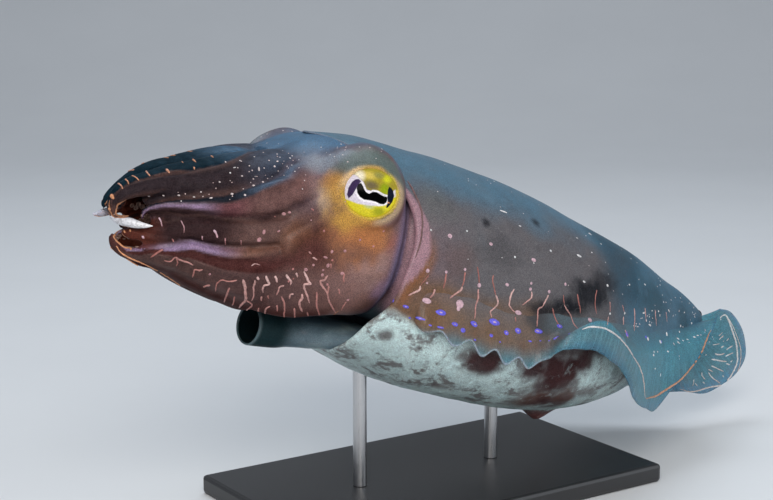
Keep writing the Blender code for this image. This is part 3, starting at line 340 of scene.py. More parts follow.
# Lines on the fins as the camera sees them: tone, width, places.
FIN_LINES = (
    (0.9, 0.9, 582.1, 329.4, 589.5, 327, 596.8, 327.1, 604.2, 328.3, 611.6, 332, 619, 337.5, 624.5, 343.6, 630,
    350.9, 633.7, 357.4, 638.3, 364.7, 642, 374, 643.8, 383.2, 644.4, 390.5, 645.3, 397.9), (0.1, 1.1, 646, 398.6,
    655.8, 396, 663.2, 391.4, 670.5, 386.8, 679.8, 380.4, 689, 370.3, 696.3, 361, 701.8, 351.8, 705.5, 342.6, 708.3,
    335.3, 711.1, 329.7), (1, 1, 720.1, 318.1, 722.5, 315.7, 726, 315.4, 729.1, 321.7, 731.4, 328.8, 734.1, 336,
    735.9, 342, 736.8, 347.9, 737.4, 354.5, 737.4, 359.8, 736.2, 365.2, 733.8, 370.6, 730.8, 375.9, 727.3, 380.7,
    723.7, 384.3, 718.9, 385.8, 714.2, 386.4, 709.4, 387.3, 704, 388.8, 698.7, 390.5, 693.3, 391.6, 687.9, 391.4,
    683.8, 390.2, 680.2, 389.1), (0.7, 0.5, 725.5, 315.1, 729.7, 320.5, 733.2, 327.1, 736.2, 334.8, 738.6, 341.4,
    740.4, 347.9, 740.9, 355.7, 740.1, 364, 738, 370.6, 734.7, 376.5, 730.8, 381.3, 726.7, 384.3),
    (0.8, 0.5, 713, 344.9, 719.5, 343.8), (1, 0.9, 721, 347.6, 724, 345.8), (0.8, 0.6, 719.2, 339.6, 723.7, 335.1),
    (0.8, 0.6, 726.7, 340.8, 728.8, 338.1), (1, 0.8, 726.4, 350, 728.8, 347.9, 732.6, 345.8),
    (0.9, 0.8, 714.8, 353.6, 717.7, 354.6, 721.3, 354.5, 724.6, 353.3),
    (0.9, 0.7, 725.5, 356.3, 728.5, 354.8, 733.2, 352.7),
    (1, 0.9, 711.8, 359.3, 716.5, 360.1, 721.3, 361, 726.7, 361.6), (1, 0.8, 730.5, 361.9, 732.3, 360.4),
    (1, 0.9, 726.4, 363.7, 730, 364.9), (0.9, 0.8, 711.2, 365.8, 714.8, 367.3, 718.9, 369.4, 723.7, 371.5),
    (0.8, 0.7, 708.2, 372.4, 710.6, 375.9, 714.2, 379.2, 720.1, 383.1), (1, 0.9, 722.5, 375.3, 723.7, 377.1),
    (0.9, 0.7, 701.6, 372.4, 702.2, 375.9, 705.2, 379.5), (0.9, 0.8, 702.8, 381.9, 704.6, 383.4),
    (0.9, 0.7, 693.9, 379.5, 693.3, 383.7, 692.7, 386.1), (0.8, 0.6, 695.1, 383.1, 697.5, 386.1),
    (0.7, 0.5, 718.9, 336, 722.5, 332.4), (0.7, 0.6, 708.5, 369.4, 713, 371.8),
)
# Soft patches as the camera sees them: place in the picture, half-length and half-height in mm, colour, strength.
HEAD_PATCHES = (
    (299, 172, 12, 9, "mauve", 0.75), (322, 164, 11, 6, "haze", 0.85), (296, 188, 9, 5, "mauve", 0.6),
    (346, 157, 10, 5, "haze", 0.85), (313, 189, 7, 7, "rosy", 0.75), (302, 207, 8, 7, "mauve", 0.7),
    (372, 159, 12, 8, "brow", 1), (391, 170, 7, 9, "brow", 0.9), (352, 168, 7, 4, "brow", 0.5),
    (336, 187, 8, 9, "amber", 0.65), (300, 250, 10, 6, "orange", 0.3), (332, 281, 10, 7, "rosy", 0.6),
    (331.5, 178, 4.5, 5, "orange", 0.3), (310, 225, 13, 9, "umber", 0.7), (300, 236, 9, 6, "orange", 0.55),
    (324.5, 201, 3.2, 6, "cream", 0.3), (399, 166, 5, 8, "crown", 0.6), (405, 184, 4, 9, "brow", 0.55),
    (338, 234, 10, 8, "orange", 0.6), (352, 222.5, 12, 6.5, "amber", 0.95), (369, 236, 12, 9, "orange", 0.95),
    (393.5, 246, 4.5, 7, "red", 0.75), (397.5, 196, 3.6, 9, "cream", 0.8), (392, 218, 6, 6, "rosy", 0.75),
    (358, 254, 12, 6, "umber", 0.5), (388, 264, 8, 7, "rosy", 0.75), (384, 290, 8, 7, "lilac", 0.9),
    (368, 277, 13, 8, "rosy", 0.7), (395, 282, 5.5, 12, "lilac", 0.75), (318, 262, 15, 9, "umber", 0.6),
    (346, 287, 12, 8, "rosy", 0.35),
)
MANTLE_PATCHES = (
    (545, 311, 11, 4.5, "patch", 0.9), (571, 308, 15, 5.5, "patch", 1), (590, 294, 15, 8, "patch", 0.95),
    (604, 281, 12, 7, "patch", 0.7), (486, 222.7, 3, 2.4, "patch", 0.85), (536, 222.7, 3.6, 2.4, "patch", 0.8),
    (500, 252, 15, 9, "patch", 0.3), (462, 262, 12, 9, "umber", 0.35), (655, 300, 22, 13, "deep", 0.8),
    (684, 322, 12, 10, "deep", 0.7), (437, 205, 11, 9, "brow", 0.25), (483, 362, 13, 8, "wine", 0.95),
    (468, 357, 7, 5, "wine", 0.8), (494, 358, 9, 7, "wine", 0.8), (534, 372, 12, 9, "wine", 0.95),
    (552, 366, 16, 12, "wine", 1), (572, 366, 14, 11, "wine", 1), (586, 360, 8, 7, "wine", 0.9),
    (560, 383, 14, 10, "wine", 0.95), (543, 386, 13, 9, "wine", 0.9), (532, 400, 14, 8, "umber", 0.95),
    (553, 402, 14, 8, "wine", 0.9), (565, 396, 10, 6, "umber", 0.8), (615, 372, 9, 10, "deep", 0.35),
    (585, 392, 13, 3.5, "belly_dark", 0.7), (419, 348, 2.6, 2.2, "wine", 0.9), (386, 336, 4.2, 3.5, "wine", 0.8),
    (438, 386, 7, 2.4, "belly_dark", 0.8), (545, 415, 10, 6, "umber", 0.8), (550, 420, 6, 4, "red", 0.6),
)

# Wall between the arms: station x, half-width, top and bottom.
GAP_ROWS = (
    (-110, 30.5, 28, -33), (-118, 27.4, 25.4, -30.2), (-124, 25, 23.4, -27.6), (-130, 22.4, 19.4, -25.6),
    (-136, 18.4, 13.8, -24), (-141, 14.6, 9.2, -22.6), (-145, 11.6, 5.2, -21.2),
)
# Crest of an arm: its place across the section and its height.
CRESTS = {1: (-0.80, 0.9), 3: (-0.88, 1.5)}
# Bands of the arms from the top down: lower edge, colour, and the x between which the band fades out on the head.
ARM_BANDS = (
    (TEAL_BAND, "teal", -92, -80), (BROWN_BAND, "brown", -84, -70), (DOTTED_BAND, "ink", -82, -66),
    (DUSKY_BAND, "dusky", -82, -66), (THIRD_BAND, "plum", -88, -70), (RIDGE_BAND, "lilac", -80, -64),
    (SHADE_BAND, "shade", -72, -56),
)
# Tints of the arms' free ends: arm times two, and one more on the right; colour, strength, shares of the end.
ARM_END_TINTS = (
    (0, "umber", 0.7, 0.45, 0.7), (3, "pale", 0.75, 0.55, 0.8), (4, "inner", 0.9, 0.2, 0.5),
    (6, "shade", 0.7, 0.4, 0.8), (7, "shade", 0.7, 0.4, 0.8),
)
NAPE_COLOUR = (0.19, 0.17, 0.30)
# Grooves between the arms: the band that each follows, its depth and half-width.
GROOVES = ((TEAL_BAND, 0.9, 2.2), (BROWN_BAND, 0.8, 2.6), (DUSKY_BAND, 0.9, 2.4), (THIRD_BAND, 1.0, 2.4))
# Bright rims along the arms' free ends: arm, side, shares of the end, two spots of the section, half-width, tone.
ARM_RIMS = (
    (0, -1, 0.4, 0.99, (0, 0), 0.8, 0), (0, -1, 0.5, 0.97, (7, 8), 0.6, 0), (0, -1, 0.22, 0.97, (14, 14), 0.62, 0.1),
    (0, 1, 0.35, 0.97, (14, 14), 0.5, 0.3), (3, -1, 0.5, 0.99, (14, 14), 0.8, 0.5),
    (3, 1, 0.3, 0.99, (14, 14), 0.6, 0.5), (1, 1, 0.5, 0.97, (0, 0), 0.5, 0.9), (2, -1, 0.2, 0.97, (0, 0), 0.6, 0.2),
)
# A sucker's profile: radius and height, for a radius of 1.
CUP = (
    (0.42, -1.1), (0.5, -0.2), (0.66, 0.18), (1, 0.42), (1.04, 0.72), (0.9, 0.92), (0.7, 0.82), (0.46, 0.52),
    (0.18, 0.46),
)
# Knob at the tail: place, length and height.
TAIL_KNOTS = (((224.5, -1.5, 0.5), 5.2, 4.6), ((226.2, 0.6, -2.6), 3.8, 3.6), ((222.5, 1.5, 2.5), 3.4, 2.8))
# Marks left of this x in the picture lie on the head.
HEAD_END = 400

# The eye as traced on an enlargement: its middle and the enlargement's scale to a millimetre, then x and y in turn.
EYE_TRACE = (671, 575, 38.3)
PUPIL = (
    475, 412, 500, 455, 520, 510, 545, 555, 580, 585, 620, 600, 655, 585, 690, 568, 750, 575, 820, 615, 870, 640,
    935, 655, 932, 700, 915, 735, 880, 758, 820, 750, 740, 712, 640, 688, 540, 676, 470, 632, 430, 570, 418, 490,
    440, 432,
)
CRESCENT_FRONT = (
    440, 330, 480, 370, 420, 440, 370, 530, 330, 600, 270, 660, 245, 600, 270, 480, 330, 380, 390, 335,
)
CRESCENT_BACK = (
    985, 460, 1030, 495, 1060, 540, 1080, 620, 1050, 720, 1000, 790, 960, 830, 930, 830, 960, 740, 950, 650, 960, 520,
)
FLAP_LINE = (
    (380, 300, 520, 420, 570, 520, 690, 560, 800, 590, 930, 640, 1080, 600),
    (380, 250, 520, 380, 570, 510, 690, 545, 800, 580, 930, 630, 1080, 500),
)
LEMON_LINE = (250, 690, 420, 760, 600, 790, 800, 805, 930, 780, 1090, 640)
# Patches of the skin flap: place, half-length and half-height in millimetres, colour, strength. The dark brown-grey
# patch at 660, 440 is painted shadow near the flap's edge.
FLAP_PATCHES = (
    (620, 260, 4.6, 2.2, (0.66, 0.50, 0.10), 0.9), (455, 270, 3.0, 3.2, (0.88, 0.80, 0.60), 0.95),
    (660, 440, 4.2, 2.6, (0.150, 0.115, 0.060), 0.95), (900, 500, 2.8, 3.2, (0.27, 0.36, 0.008), 0.95),
    (950, 330, 2.6, 2.2, (0.60, 0.60, 0.02), 0.9), (800, 260, 3.0, 1.8, (0.26, 0.25, 0.07), 0.8),
)

# Studio lights: name, place, power, size, colour.
LIGHTS = (
    ("key", (-0.75, -1.05, 0.95), 17.0, 0.8, (1.0, 0.97, 0.93)), ("fill", (0.9, -1.1, 0.6), 6.0, 1.1, (0.9, 0.95, 1.0)),
    ("top", (0.15, 0.40, 1.4), 9.0, 0.9, (0.84, 0.92, 1.0)),
)

# Colours of the skin and its markings, in linear light.
PALETTE = {
    # back: partly the slate-blue skin, partly painted blue ambient light on the upper side.
    "back": ("slate-blue skin along the back", (0.056, 0.13, 0.19)),
    "flank": ("grey-brown skin of the flank", (0.09, 0.084, 0.09)),
    "olive": ("olive-gold skin above the fin", (0.13, 0.068, 0.03)),
    "rear": ("teal-grey skin before the tail", (0.036, 0.108, 0.165)),
    "patch": ("soft dark patches on the flank", (0.015, 0.016, 0.02)),
    "belly": ("mint-white belly", (0.47, 0.6, 0.6)),
    "belly_dark": ("brown mottle of the belly", (0.085, 0.055, 0.055)),
    "wine": ("wine-red patches under the rear", (0.044, 0.018, 0.019)),
    "neck": ("pink skin of the neck and collar", (0.27, 0.155, 0.185)),
    "maroon": ("maroon-brown skin of the head", (0.112, 0.058, 0.05)),
    "orange": ("orange skin below the eye", (0.36, 0.135, 0.042)),
    "gold": ("yellow skin round the eye", (0.62, 0.46, 0.035)),
    "crown": ("blue-grey skin on top of the head", (0.042, 0.108, 0.19)),
    "teal": ("teal-black band", (0.006, 0.018, 0.028)),
    "brown": ("dark brown band", (0.026, 0.018, 0.021)),
    "ink": ("blue-black band with pale dots", (0.012, 0.014, 0.02)),
    "lilac": ("lilac ridges of the arms", (0.23, 0.155, 0.26)),
    "dusky": ("dusky red band", (0.118, 0.042, 0.048)),
    "plum": ("plum-black band", (0.031, 0.016, 0.017)),
    "shade": ("dark red zone under the ridge", (0.064, 0.021, 0.019)),
    "flap": ("grey-brown web", (0.076, 0.04, 0.038)),
    "hem": ("blood-dark lower edge", (0.036, 0.01, 0.009)),
    "inner": ("red-brown inner face of the arms", (0.085, 0.022, 0.014)),
    "fin": ("teal-blue fin web", (0.055, 0.185, 0.24)),
    "fin_edge": ("clear blue rim of the fin", (0.036, 0.165, 0.27)),
    "funnel": ("grey-green funnel", (0.012, 0.028, 0.032)),
    "funnel_base": ("blue-grey root of the funnel", (0.1, 0.15, 0.18)),
    "pale": ("blue-white arm points", (0.56, 0.58, 0.68)),
    "rim": ("orange-white rims", (0.62, 0.27, 0.13)),
    "pink": ("red-pink part of the skin lines", (0.4, 0.13, 0.105)),
    "pink_light": ("pale pink part of the skin lines", (0.72, 0.47, 0.44)),
    "white": ("white dots and dashes", (0.72, 0.7, 0.7)),
    "blue": ("blue-violet dots above the fin", (0.14, 0.12, 0.72)),
    "mauve": ("purple-brown skin before the eye", (0.15, 0.092, 0.115)),
    "brow": ("olive-grey skin over the eye", (0.08, 0.105, 0.098)),
    "haze": ("blue-grey of the skin before and above the eye", (0.19, 0.225, 0.27)),
    "amber": ("amber skin beside and below the eye", (0.5, 0.27, 0.045)),
    "cream": ("cream skin behind the eye", (0.5, 0.36, 0.21)),
    "umber": ("dark brown skin of the lower cheek", (0.092, 0.042, 0.034)),
    "rosy": ("pink-grey skin of the cheek", (0.25, 0.155, 0.145)),
    "red": ("brick-red skin at the cheek's edge", (0.27, 0.085, 0.05)),
    "deep": ("deep blue-grey skin before the tail", (0.022, 0.06, 0.085)),
    "blob": ("pale pink blobs above the fin", (0.62, 0.42, 0.48)),
}

# Finished pieces by name, and the places of each fin by side.
PIECES = {}
FIN_GRIDS = {}


def length(label, text, value, low=0.0, high=0.01):
    return bpy.props.FloatProperty(name=label, description=text, default=value, min=low, max=high, unit="LENGTH")


class CuttlefishSizes(bpy.types.PropertyGroup):
    """Sizes of the model's surface forms, in metres."""
    skin_voxel: length("Head skin grid", "Grid that fuses head and arms into one skin", 0.00096, 0.0005, 0.004)
    lid_stand: length("Lid edge", "How far the lid's edge stands off the eye", 0.0009)
    flap_stand: length("Eye flap", "Thickness of the skin flap over the upper eye", 0.0006)
    sucker_radius: length("Sucker", "Radius of the largest suckers", 0.0019)
    sucker_count: bpy.props.IntProperty(name="Suckers in a row", description="Suckers in each row", default=22, min=4)
    seed: bpy.props.IntProperty(name="Seed", description="Seed of the scattered markings", default=11, min=0)


class CuttlefishColours(bpy.types.PropertyGroup):
    """Colours of the skin and its markings."""


CuttlefishColours.__annotations__ = {
    key: bpy.props.FloatVectorProperty(
        name=key.replace("_", " ").capitalize(), description=text, subtype="COLOR", size=3, min=0.0, max=1.0,
        default=value)
    for key, (text, value) in PALETTE.items()
}


def sizes():
    return bpy.context.scene.cuttlefish_sizes


def colour(name):
    """One of the model's colours as an array."""
    return np.array(getattr(bpy.context.scene.cuttlefish_colours, name))


def mixed(plus=0.0, **parts):
    """A colour mixed from the model's colours: how much of each, and how much white."""
    return sum(colour(name) * part for name, part in parts.items()) + plus


def to_world(points):
    """Points of the animal's own frame, in millimetres, as places in the world in metres."""
    x, y, z = np.moveaxis(np.asarray(points, float), -1, 0)
    return np.stack(((x * COS + z * SIN) * MM + SHIFT_X, y * MM, (z * COS - x * SIN) * MM + LIFT), -1)


def to_body(points):
    """Places in the world as points of the animal's own frame, in millimetres."""
    p = np.asarray(points, float)
    x = (p[..., 0] - SHIFT_X) * 1000
    z = (p[..., 2] - LIFT) * 1000
    return np.stack((x * COS - z * SIN, p[..., 1] * 1000, x * SIN + z * COS), -1)


def curve(table, x, column=1):
    """Smooth values from one column of a table, for places along its first column."""
    rows = np.array(sorted(table), float)
    xs = rows[:, 0]
    ys = rows[:, column]
    slopes = np.empty_like(ys)
    slopes[1:-1] = (ys[2:] - ys[:-2]) / (xs[2:] - xs[:-2])
    slopes[0] = (ys[1] - ys[0]) / (xs[1] - xs[0])
    slopes[-1] = (ys[-1] - ys[-2]) / (xs[-1] - xs[-2])
    x = np.clip(np.asarray(x, float), xs[0], xs[-1])
    i = np.clip(np.searchsorted(xs, x, "right") - 1, 0, len(xs) - 2)
    span = xs[i + 1] - xs[i]
    t = (x - xs[i]) / span
    t2 = t * t
    t3 = t2 * t
    return (
        (2 * t3 - 3 * t2 + 1) * ys[i] + (t3 - 2 * t2 + t) * slopes[i] * span
        + (3 * t2 - 2 * t3) * ys[i + 1] + (t3 - t2) * slopes[i + 1] * span
    )


def section(table, x):
    """Half-width, middle level and half-height of a table's section at x."""
    wide, top, bottom = (curve(table, x, column) for column in (1, 2, 3))
    return wide, (top + bottom) / 2, (top - bottom) / 2


def row_at(table, place):
    """A row of a table at a place between its rows, by a smooth curve through each column."""
    last = len(table) - 1
    i = min(int(place), last - 1)
    t = place - i
    b = np.array(table[i], float)
    c = np.array(table[i + 1], float)
    a = np.array(table[i - 1], float) if i > 0 else 2 * b - c
    d = np.array(table[i + 2], float) if i + 2 <= last else 2 * c - b
    return 0.5 * (2 * b + (c - a) * t + (2 * a - 5 * b + 4 * c - d) * t * t + (3 * b - a - 3 * c + d) * t * t * t)


def pairs(row):
    return list(zip(row[::2], row[1::2]))


def ease(low, high, value):
    """A soft step from 0 at low to 1 at high."""
    t = np.clip((np.asarray(value, float) - low) / (high - low), 0.0, 1.0)
    return t * t * (3.0 - 2.0 * t)


def fall(low, high, value):
    """A soft step from 1 at low to 0 at high."""
    return 1 - ease(low, high, value)


def hill(value, top, width):
    """A soft hump, 1 at its top."""
    return np.exp(-(((value - top) / width) ** 2))


def bent(value, power):
    return np.sign(value) * np.abs(value) ** power


def oval(s, v, radii):
    """How far out a place lies in an oval, 1 on its edge."""
    return np.sqrt((s / radii[0]) ** 2 + (v / radii[1]) ** 2)


def blot(x, z, at, radii, soft):
    """A soft oval mask round a place."""
    return 1.0 - ease(soft, 1.25, oval(x - at[0], z - at[1], radii))


class Coat:
    """Colours at many points, laid over one another."""

    def __init__(self, count, base):
        self.tint = np.tile(colour(base) if isinstance(base, str) else np.array(base), (count, 1))

    def lay(self, mask, over=None, **parts):
        """Lays a colour where the mask is 1: the one given, or one mixed from parts of the model's colours."""
        m = np.asarray(mask)[..., None]
        self.tint = self.tint * (1 - m) + (mixed(**parts) if over is None else np.asarray(over)) * m


def patches_on(points, skin, table, rough):
    """Colour name and soft mask over the skin's points, on both sides, for each row of a table of patches."""
    for px, py, long, high, name, strength in table:
        hit = skin.seen(px, py)
        if hit is not None:
            x, y, z = hit[0]
            gap = (points[:, 0] - x, np.abs(points[:, 1]) - abs(y), points[:, 2] - z)
            d = np.sqrt((gap[0] / long) ** 2 + (gap[1] / max(long, high)) ** 2 + (gap[2] / high) ** 2)
            yield name, fall(0.35, 1.3, d + rough * 0.25) * strength


def wobble(points, scale, seed, depth=2):
    """Smooth noise from about -1 to 1 at each point."""
    shift = Vector((seed * 7.3, seed * 3.1, seed * 5.7))
    return np.array([noise.fractal(Vector(p) * scale + shift, 1.0, 2.0, depth) for p in points])


def circle(count):
    return np.arange(count) * 2 * np.pi / count


def stacked(*columns):
    return np.stack(np.broadcast_arrays(*columns), -1)


def mesh_of(name, points, faces, edges=()):
    mesh = bpy.data.meshes.new(name)
    mesh.from_pydata([tuple(p) for p in points], edges, [tuple(f) for f in faces])
    mesh.update()
    return mesh


def new_piece(name, mesh):
    obj = bpy.data.objects.new(name, mesh)
    bpy.context.scene.collection.objects.link(obj)
    return obj


def skin_over(rings):
    """Points and faces of a closed skin over an array of rings."""
    rings = np.asarray(rings, float)
    count, around = rings.shape[:2]
    points = np.concatenate((rings.reshape(-1, 3), rings[0].mean(0)[None], rings[-1].mean(0)[None]))
    at = np.arange(around)
    after = (at + 1) % around
    row = np.arange(count - 1)[:, None] * around
    faces = np.stack((row + at, row + after, row + after + around, row + at + around), -1).reshape(-1, 4).tolist()
    total = count * around
    last = total - around
    edge = list(zip(at.tolist(), after.tolist()))
    return points, faces + [(q, p, total) for p, q in edge] + [(last + p, last + q, total + 1) for p, q in edge]


def face_outwards(mesh):
    bm = bmesh.new()
    bm.from_mesh(mesh)
    bmesh.ops.recalc_face_normals(bm, faces=bm.faces)
    bm.to_mesh(mesh)
    bm.free()


def read(mesh, label):
    """The places or normals of a mesh's points, in the world."""
    out = np.empty(len(mesh.vertices) * 3)
    mesh.vertices.foreach_get(label, out)
    return out.reshape(-1, 3)


def body_normals(mesh):
    """The normals of a mesh's points, in the animal's own frame."""
    return to_body(read(mesh, "normal") * MM + to_world(np.zeros(3)))


def set_places(mesh, points):
    mesh.vertices.foreach_set("co", np.asarray(to_world(points), np.float32).ravel())
    mesh.update()


def set_tint(mesh, values):
    """Stores a colour at each point."""
    layer = mesh.color_attributes.new("tint", "FLOAT_COLOR", "POINT")
    full = np.ones((len(values), 4), np.float32)
    full[:, :3] = np.clip(values, 0.0, 1.0)
    layer.data.foreach_set("color", full.ravel())


def set_mask(mesh, values, name):
    layer = mesh.attributes.new(name, "FLOAT", "POINT")
    layer.data.foreach_set("value", np.asarray(values, np.float32))


def set_vector(mesh, values, name):
    layer = mesh.attributes.new(name, "FLOAT_VECTOR", "POINT")
    layer.data.foreach_set("vector", np.asarray(values, np.float32).ravel())


def set_skin_map(mesh, across, along, wrap=None):
    """A UV map in centimetres over the skin, with the faces that cross the seam kept whole."""
    loops = np.empty(len(mesh.loops), np.int32)
    mesh.loops.foreach_get("vertex_index", loops)
    uv = np.stack((across / 10, along / 10), -1)[loops]
    if wrap:
        starts = np.empty(len(mesh.polygons), np.int32)
        mesh.polygons.foreach_get("loop_start", starts)
        corners = np.diff(np.append(starts, len(loops)))
        low = np.repeat(np.minimum.reduceat(uv[:, 1], starts), corners)
        high = np.repeat(np.maximum.reduceat(uv[:, 1], starts), corners)
        uv[(high - low > wrap / 2) & (uv[:, 1] < (high + low) / 2), 1] += wrap
    layer = mesh.uv_layers.new(name="skin")
    layer.data.foreach_set("uv", uv.astype(np.float32).ravel())


def evaluated(obj):
    """Applies the object's modifiers, as a plain mesh on the same object."""
    bpy.context.view_layer.update()
    mesh = bpy.data.meshes.new_from_object(obj.evaluated_get(bpy.context.evaluated_depsgraph_get()))
    obj.modifiers.clear()
    old = obj.data
    obj.data = mesh
    mesh.name = obj.name
    bpy.data.meshes.remove(old)


def finish_piece(obj, look, nodes=()):
    """Gives a finished piece its material, its body and the nodes that it stands for."""
    obj.data.materials.clear()
    obj.data.materials.append(look)
    obj.data.shade_smooth()
    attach(obj, "root")
    if nodes:
        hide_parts(*nodes)
    PIECES[obj.name] = obj


def mantle_at(x, angle, scale=1.0):
    """Points on the mantle's sections: angle in degrees, 90 at the middle of the back."""
    c, s = np.cos(np.radians(angle)), np.sin(np.radians(angle))
    level = curve(MANTLE, x, 4)
    height = np.where(s >= 0, curve(MANTLE, x, 2) - level, level - curve(MANTLE, x, 3))
    return stacked(x, curve(MANTLE, x) * scale * bent(c, 2 / 2.35), level + height * scale * bent(s, 2 / 2.35))


def head_at(x, angle):
    """Points on the head's sections, with the cheeks' lower edges let down."""
    c, s = np.cos(np.radians(angle)), np.sin(np.radians(angle))
    level = curve(HEAD, x, 4)
    height = np.where(s >= 0, curve(HEAD, x, 2) - level, level - curve(HEAD, x, 3))
    power = np.where(s >= 0, 2 / 2.5, 2 / 3.0)
    y = curve(HEAD, x) * bent(c, power)
    drop = curve(HEAD, x, 5) * hill(np.abs(y) / curve(HEAD, x), 0.74, 0.27) * np.minimum(1.0, -s * 2.2)
    return stacked(x, y, level + height * bent(s, power) - np.where(s < 0, drop, 0.0))


def bundle_at(x, angle, depth):
    """Points in the arm bundle: an angle from the middle of the back and a depth below its outer face."""
    wide, level, high = section(BUNDLE, x)
    c, s = np.cos(np.radians(angle)), np.sin(np.radians(angle))
    power = np.where(c > 0, 2 / 2.8, 2 / 2.5)
    y = wide * bent(s, power)
    z = high * bent(c, power)
    scale = 1.0 - depth / np.hypot(y, z)
    return stacked(x, -y * scale, level + z * scale)


def round_angle(points):
    """Angle from the middle of the back, in degrees, of points on the head and arms, and how far out they lie."""
    wide, level, high = section(OUTLINE, points[..., 0])
    across = points[..., 1] / wide
    up = (points[..., 2] - level) / high
    return np.degrees(np.arctan2(np.abs(across) ** 1.4, bent(up, 1.4))), np.hypot(across, up)


def gap_rings():
    """Rings of the thin wall that closes the gaps between the arms, open to the front."""
    angle = np.arange(72) * 5.0
    low = np.minimum(angle, 360 - angle)
    front = np.interp(low, (0, 40, 60, 90, 100, 112, 130, 180), (-141, -143, -141.5, -139.5, -136, -131, -126, -124))
    across, up = bent(np.sin(np.radians(angle)), 0.8), bent(np.cos(np.radians(angle)), 0.8)

    def ring(x, inset):
        wide, top, bottom = curve(GAP_ROWS, x) - inset, curve(GAP_ROWS, x, 2) - inset, curve(GAP_ROWS, x, 3) + inset
        return stacked(x, -wide * across, (top + bottom) / 2 + (top - bottom) / 2 * up)

    steps = np.linspace(0, 1, 16)
    rings = [ring(-110 + (front + 110) * t, 0.0) for t in steps] + [ring(front - 0.8, 1.2)]
    return rings + [ring(-113 + (front + 113) * t, 2.4) for t in steps[::-1]]


def relax(points, edges, weight, rounds):
    """Evens out points along a mesh's edges where the weight is above 0."""
    count = np.bincount(edges.ravel(), minlength=len(points)).astype(float)
    for _ in range(rounds):
        middle = [sum(np.bincount(edges[:, a], column[edges[:, b]], len(points)) for a, b in ((0, 1), (1, 0))) / count
                  for column in points.T]
        points = points + (np.stack(middle, -1) - points) * weight[:, None]
    return points


def arm_section(x, index):
    """The section of one arm at x: a rounded block between two angles, with its crest."""
    share = (x - ARM_START) / (ARM_SPLIT - ARM_START)
    low, high = (a + (b - a) * share for a, b in zip(*ARM_EDGES[index]))
    turn = 2 * np.pi * np.arange(ARM_SIDES) / ARM_SIDES
    across = bent(np.cos(turn), 0.55)
    deep = (1 - bent(np.sin(turn), 0.56)) / 2
    keel = 0.55 if index == 3 else 0.0
    depth = 0.2 + deep * (float(curve(BUNDLE, x, 4)) * (1.0 - keel * (across + 1) / 2))
    if index in CRESTS:
        place, rise = CRESTS[index]
        depth -= rise * hill(across, place, 0.22) * (1 - deep) ** 2
    sink = 3.0 * float(ease(-84, ARM_ROOT, x))
    return bundle_at(np.full(ARM_SIDES, float(x)), (low + high) / 2 + (high - low) / 2 * across, depth + sink)


def arm_frames(index, side, steps):
    """An arm's section at the split, its centre, and frames along its free end: place, turn and scale."""
    first = arm_section(ARM_SPLIT - 0.3, index)
    centre = first.mean(0)
    path = [(*centre, 1.0), *(ARM_ENDS_RIGHT if side > 0 else ARM_ENDS)[index]]
    spots = [row_at(path, (len(path) - 1) * k / steps) for k in range(steps + 1)]
    frames = []
    turn = Matrix.Identity(3)
    before = Vector((-1, 0, 0))
    for k, spot in enumerate(spots):
        ahead = Vector(spots[min(k + 1, steps)][:3] - spots[max(k - 1, 0)][:3]).normalized()
        ahead = Vector((-1, 0, 0)).lerp(ahead, min(k / (0.4 * steps), 1.0)).normalized()
        turn = before.rotation_difference(ahead).to_matrix() @ turn
        before = ahead
        frames.append((spot[:3], np.array(turn), max(spot[3], 0.04)))
    return first, centre, frames


def arm_rings(index, side):
    """Rings of a whole arm from inside the head to its tip."""
    rings = [arm_section(x, index) for x in np.linspace(ARM_ROOT, ARM_SPLIT, 26)]
    first, centre, frames = arm_frames(index, side, 44)
    rings += [place + ((first - centre) * scale) @ turn.T for place, turn, scale in frames[1:]]
    return np.array(rings) * (1, -side, 1)


def eye_frame(side):
    """Centre of one eye and its axes: out along its sight, towards the tail, and up."""
    out = Vector((EYE_AXIS[0], side * EYE_AXIS[1], EYE_AXIS[2])).normalized()
    back = Vector((0, 0, 1)).cross(out).normalized() * -side
    up = out.cross(back) if side > 0 else back.cross(out)
    if up.z < 0:
        up = -up
    return tuple(np.array(v) for v in (Vector((EYE_AT[0], side * EYE_AT[1], EYE_AT[2])), out, back, up))


def eye_height(s, v):
    """How far the eye's clear front stands from its centre, along its sight."""
    r = np.minimum(oval(s, v, (EYE_RADII[0], EYE_RADII[1] + 0.6)) / 1.04, 0.9999)
    return 15.9 * (1 - r ** 2.5) ** (1 / 2.5)


def raw_head():
    """The unfused solids of head, eye bulges and arms as one list of points and faces."""
    crown = head_at(np.linspace(-84, NECK_END, 70)[:, None], np.arange(120)[None] * 3.0)
    x, y, z = np.moveaxis(crown, -1, 0)
    z += 3.9 * ease(-84, -63, x) * fall(10, 34, np.abs(y)) * (z > 20) * fall(-40, -28, x)
    parts = [skin_over(crown)]
    turn = np.linspace(0.02, np.pi - 0.02, 40)[:, None]
    spin = np.arange(64)[None] * 2 * np.pi / 64
    for side in (-1, 1):
        parts.append(skin_over(stacked(
            BULGE_AT[0] + BULGE_RADII[0] * np.cos(turn),
            side * BULGE_AT[1] + BULGE_RADII[1] * np.sin(turn) * np.cos(spin),
            BULGE_AT[2] + BULGE_RADII[2] * np.sin(turn) * np.sin(spin))))
        parts += [skin_over(arm_rings(index, side)) for index in range(4)]
    parts.append(skin_over(gap_rings()))
    faces = []
    start = 0
    for part_points, part_faces in parts:
        faces.extend(tuple(v + start for v in face) for face in part_faces)
        start += len(part_points)
    return np.concatenate([part[0] for part in parts]), faces


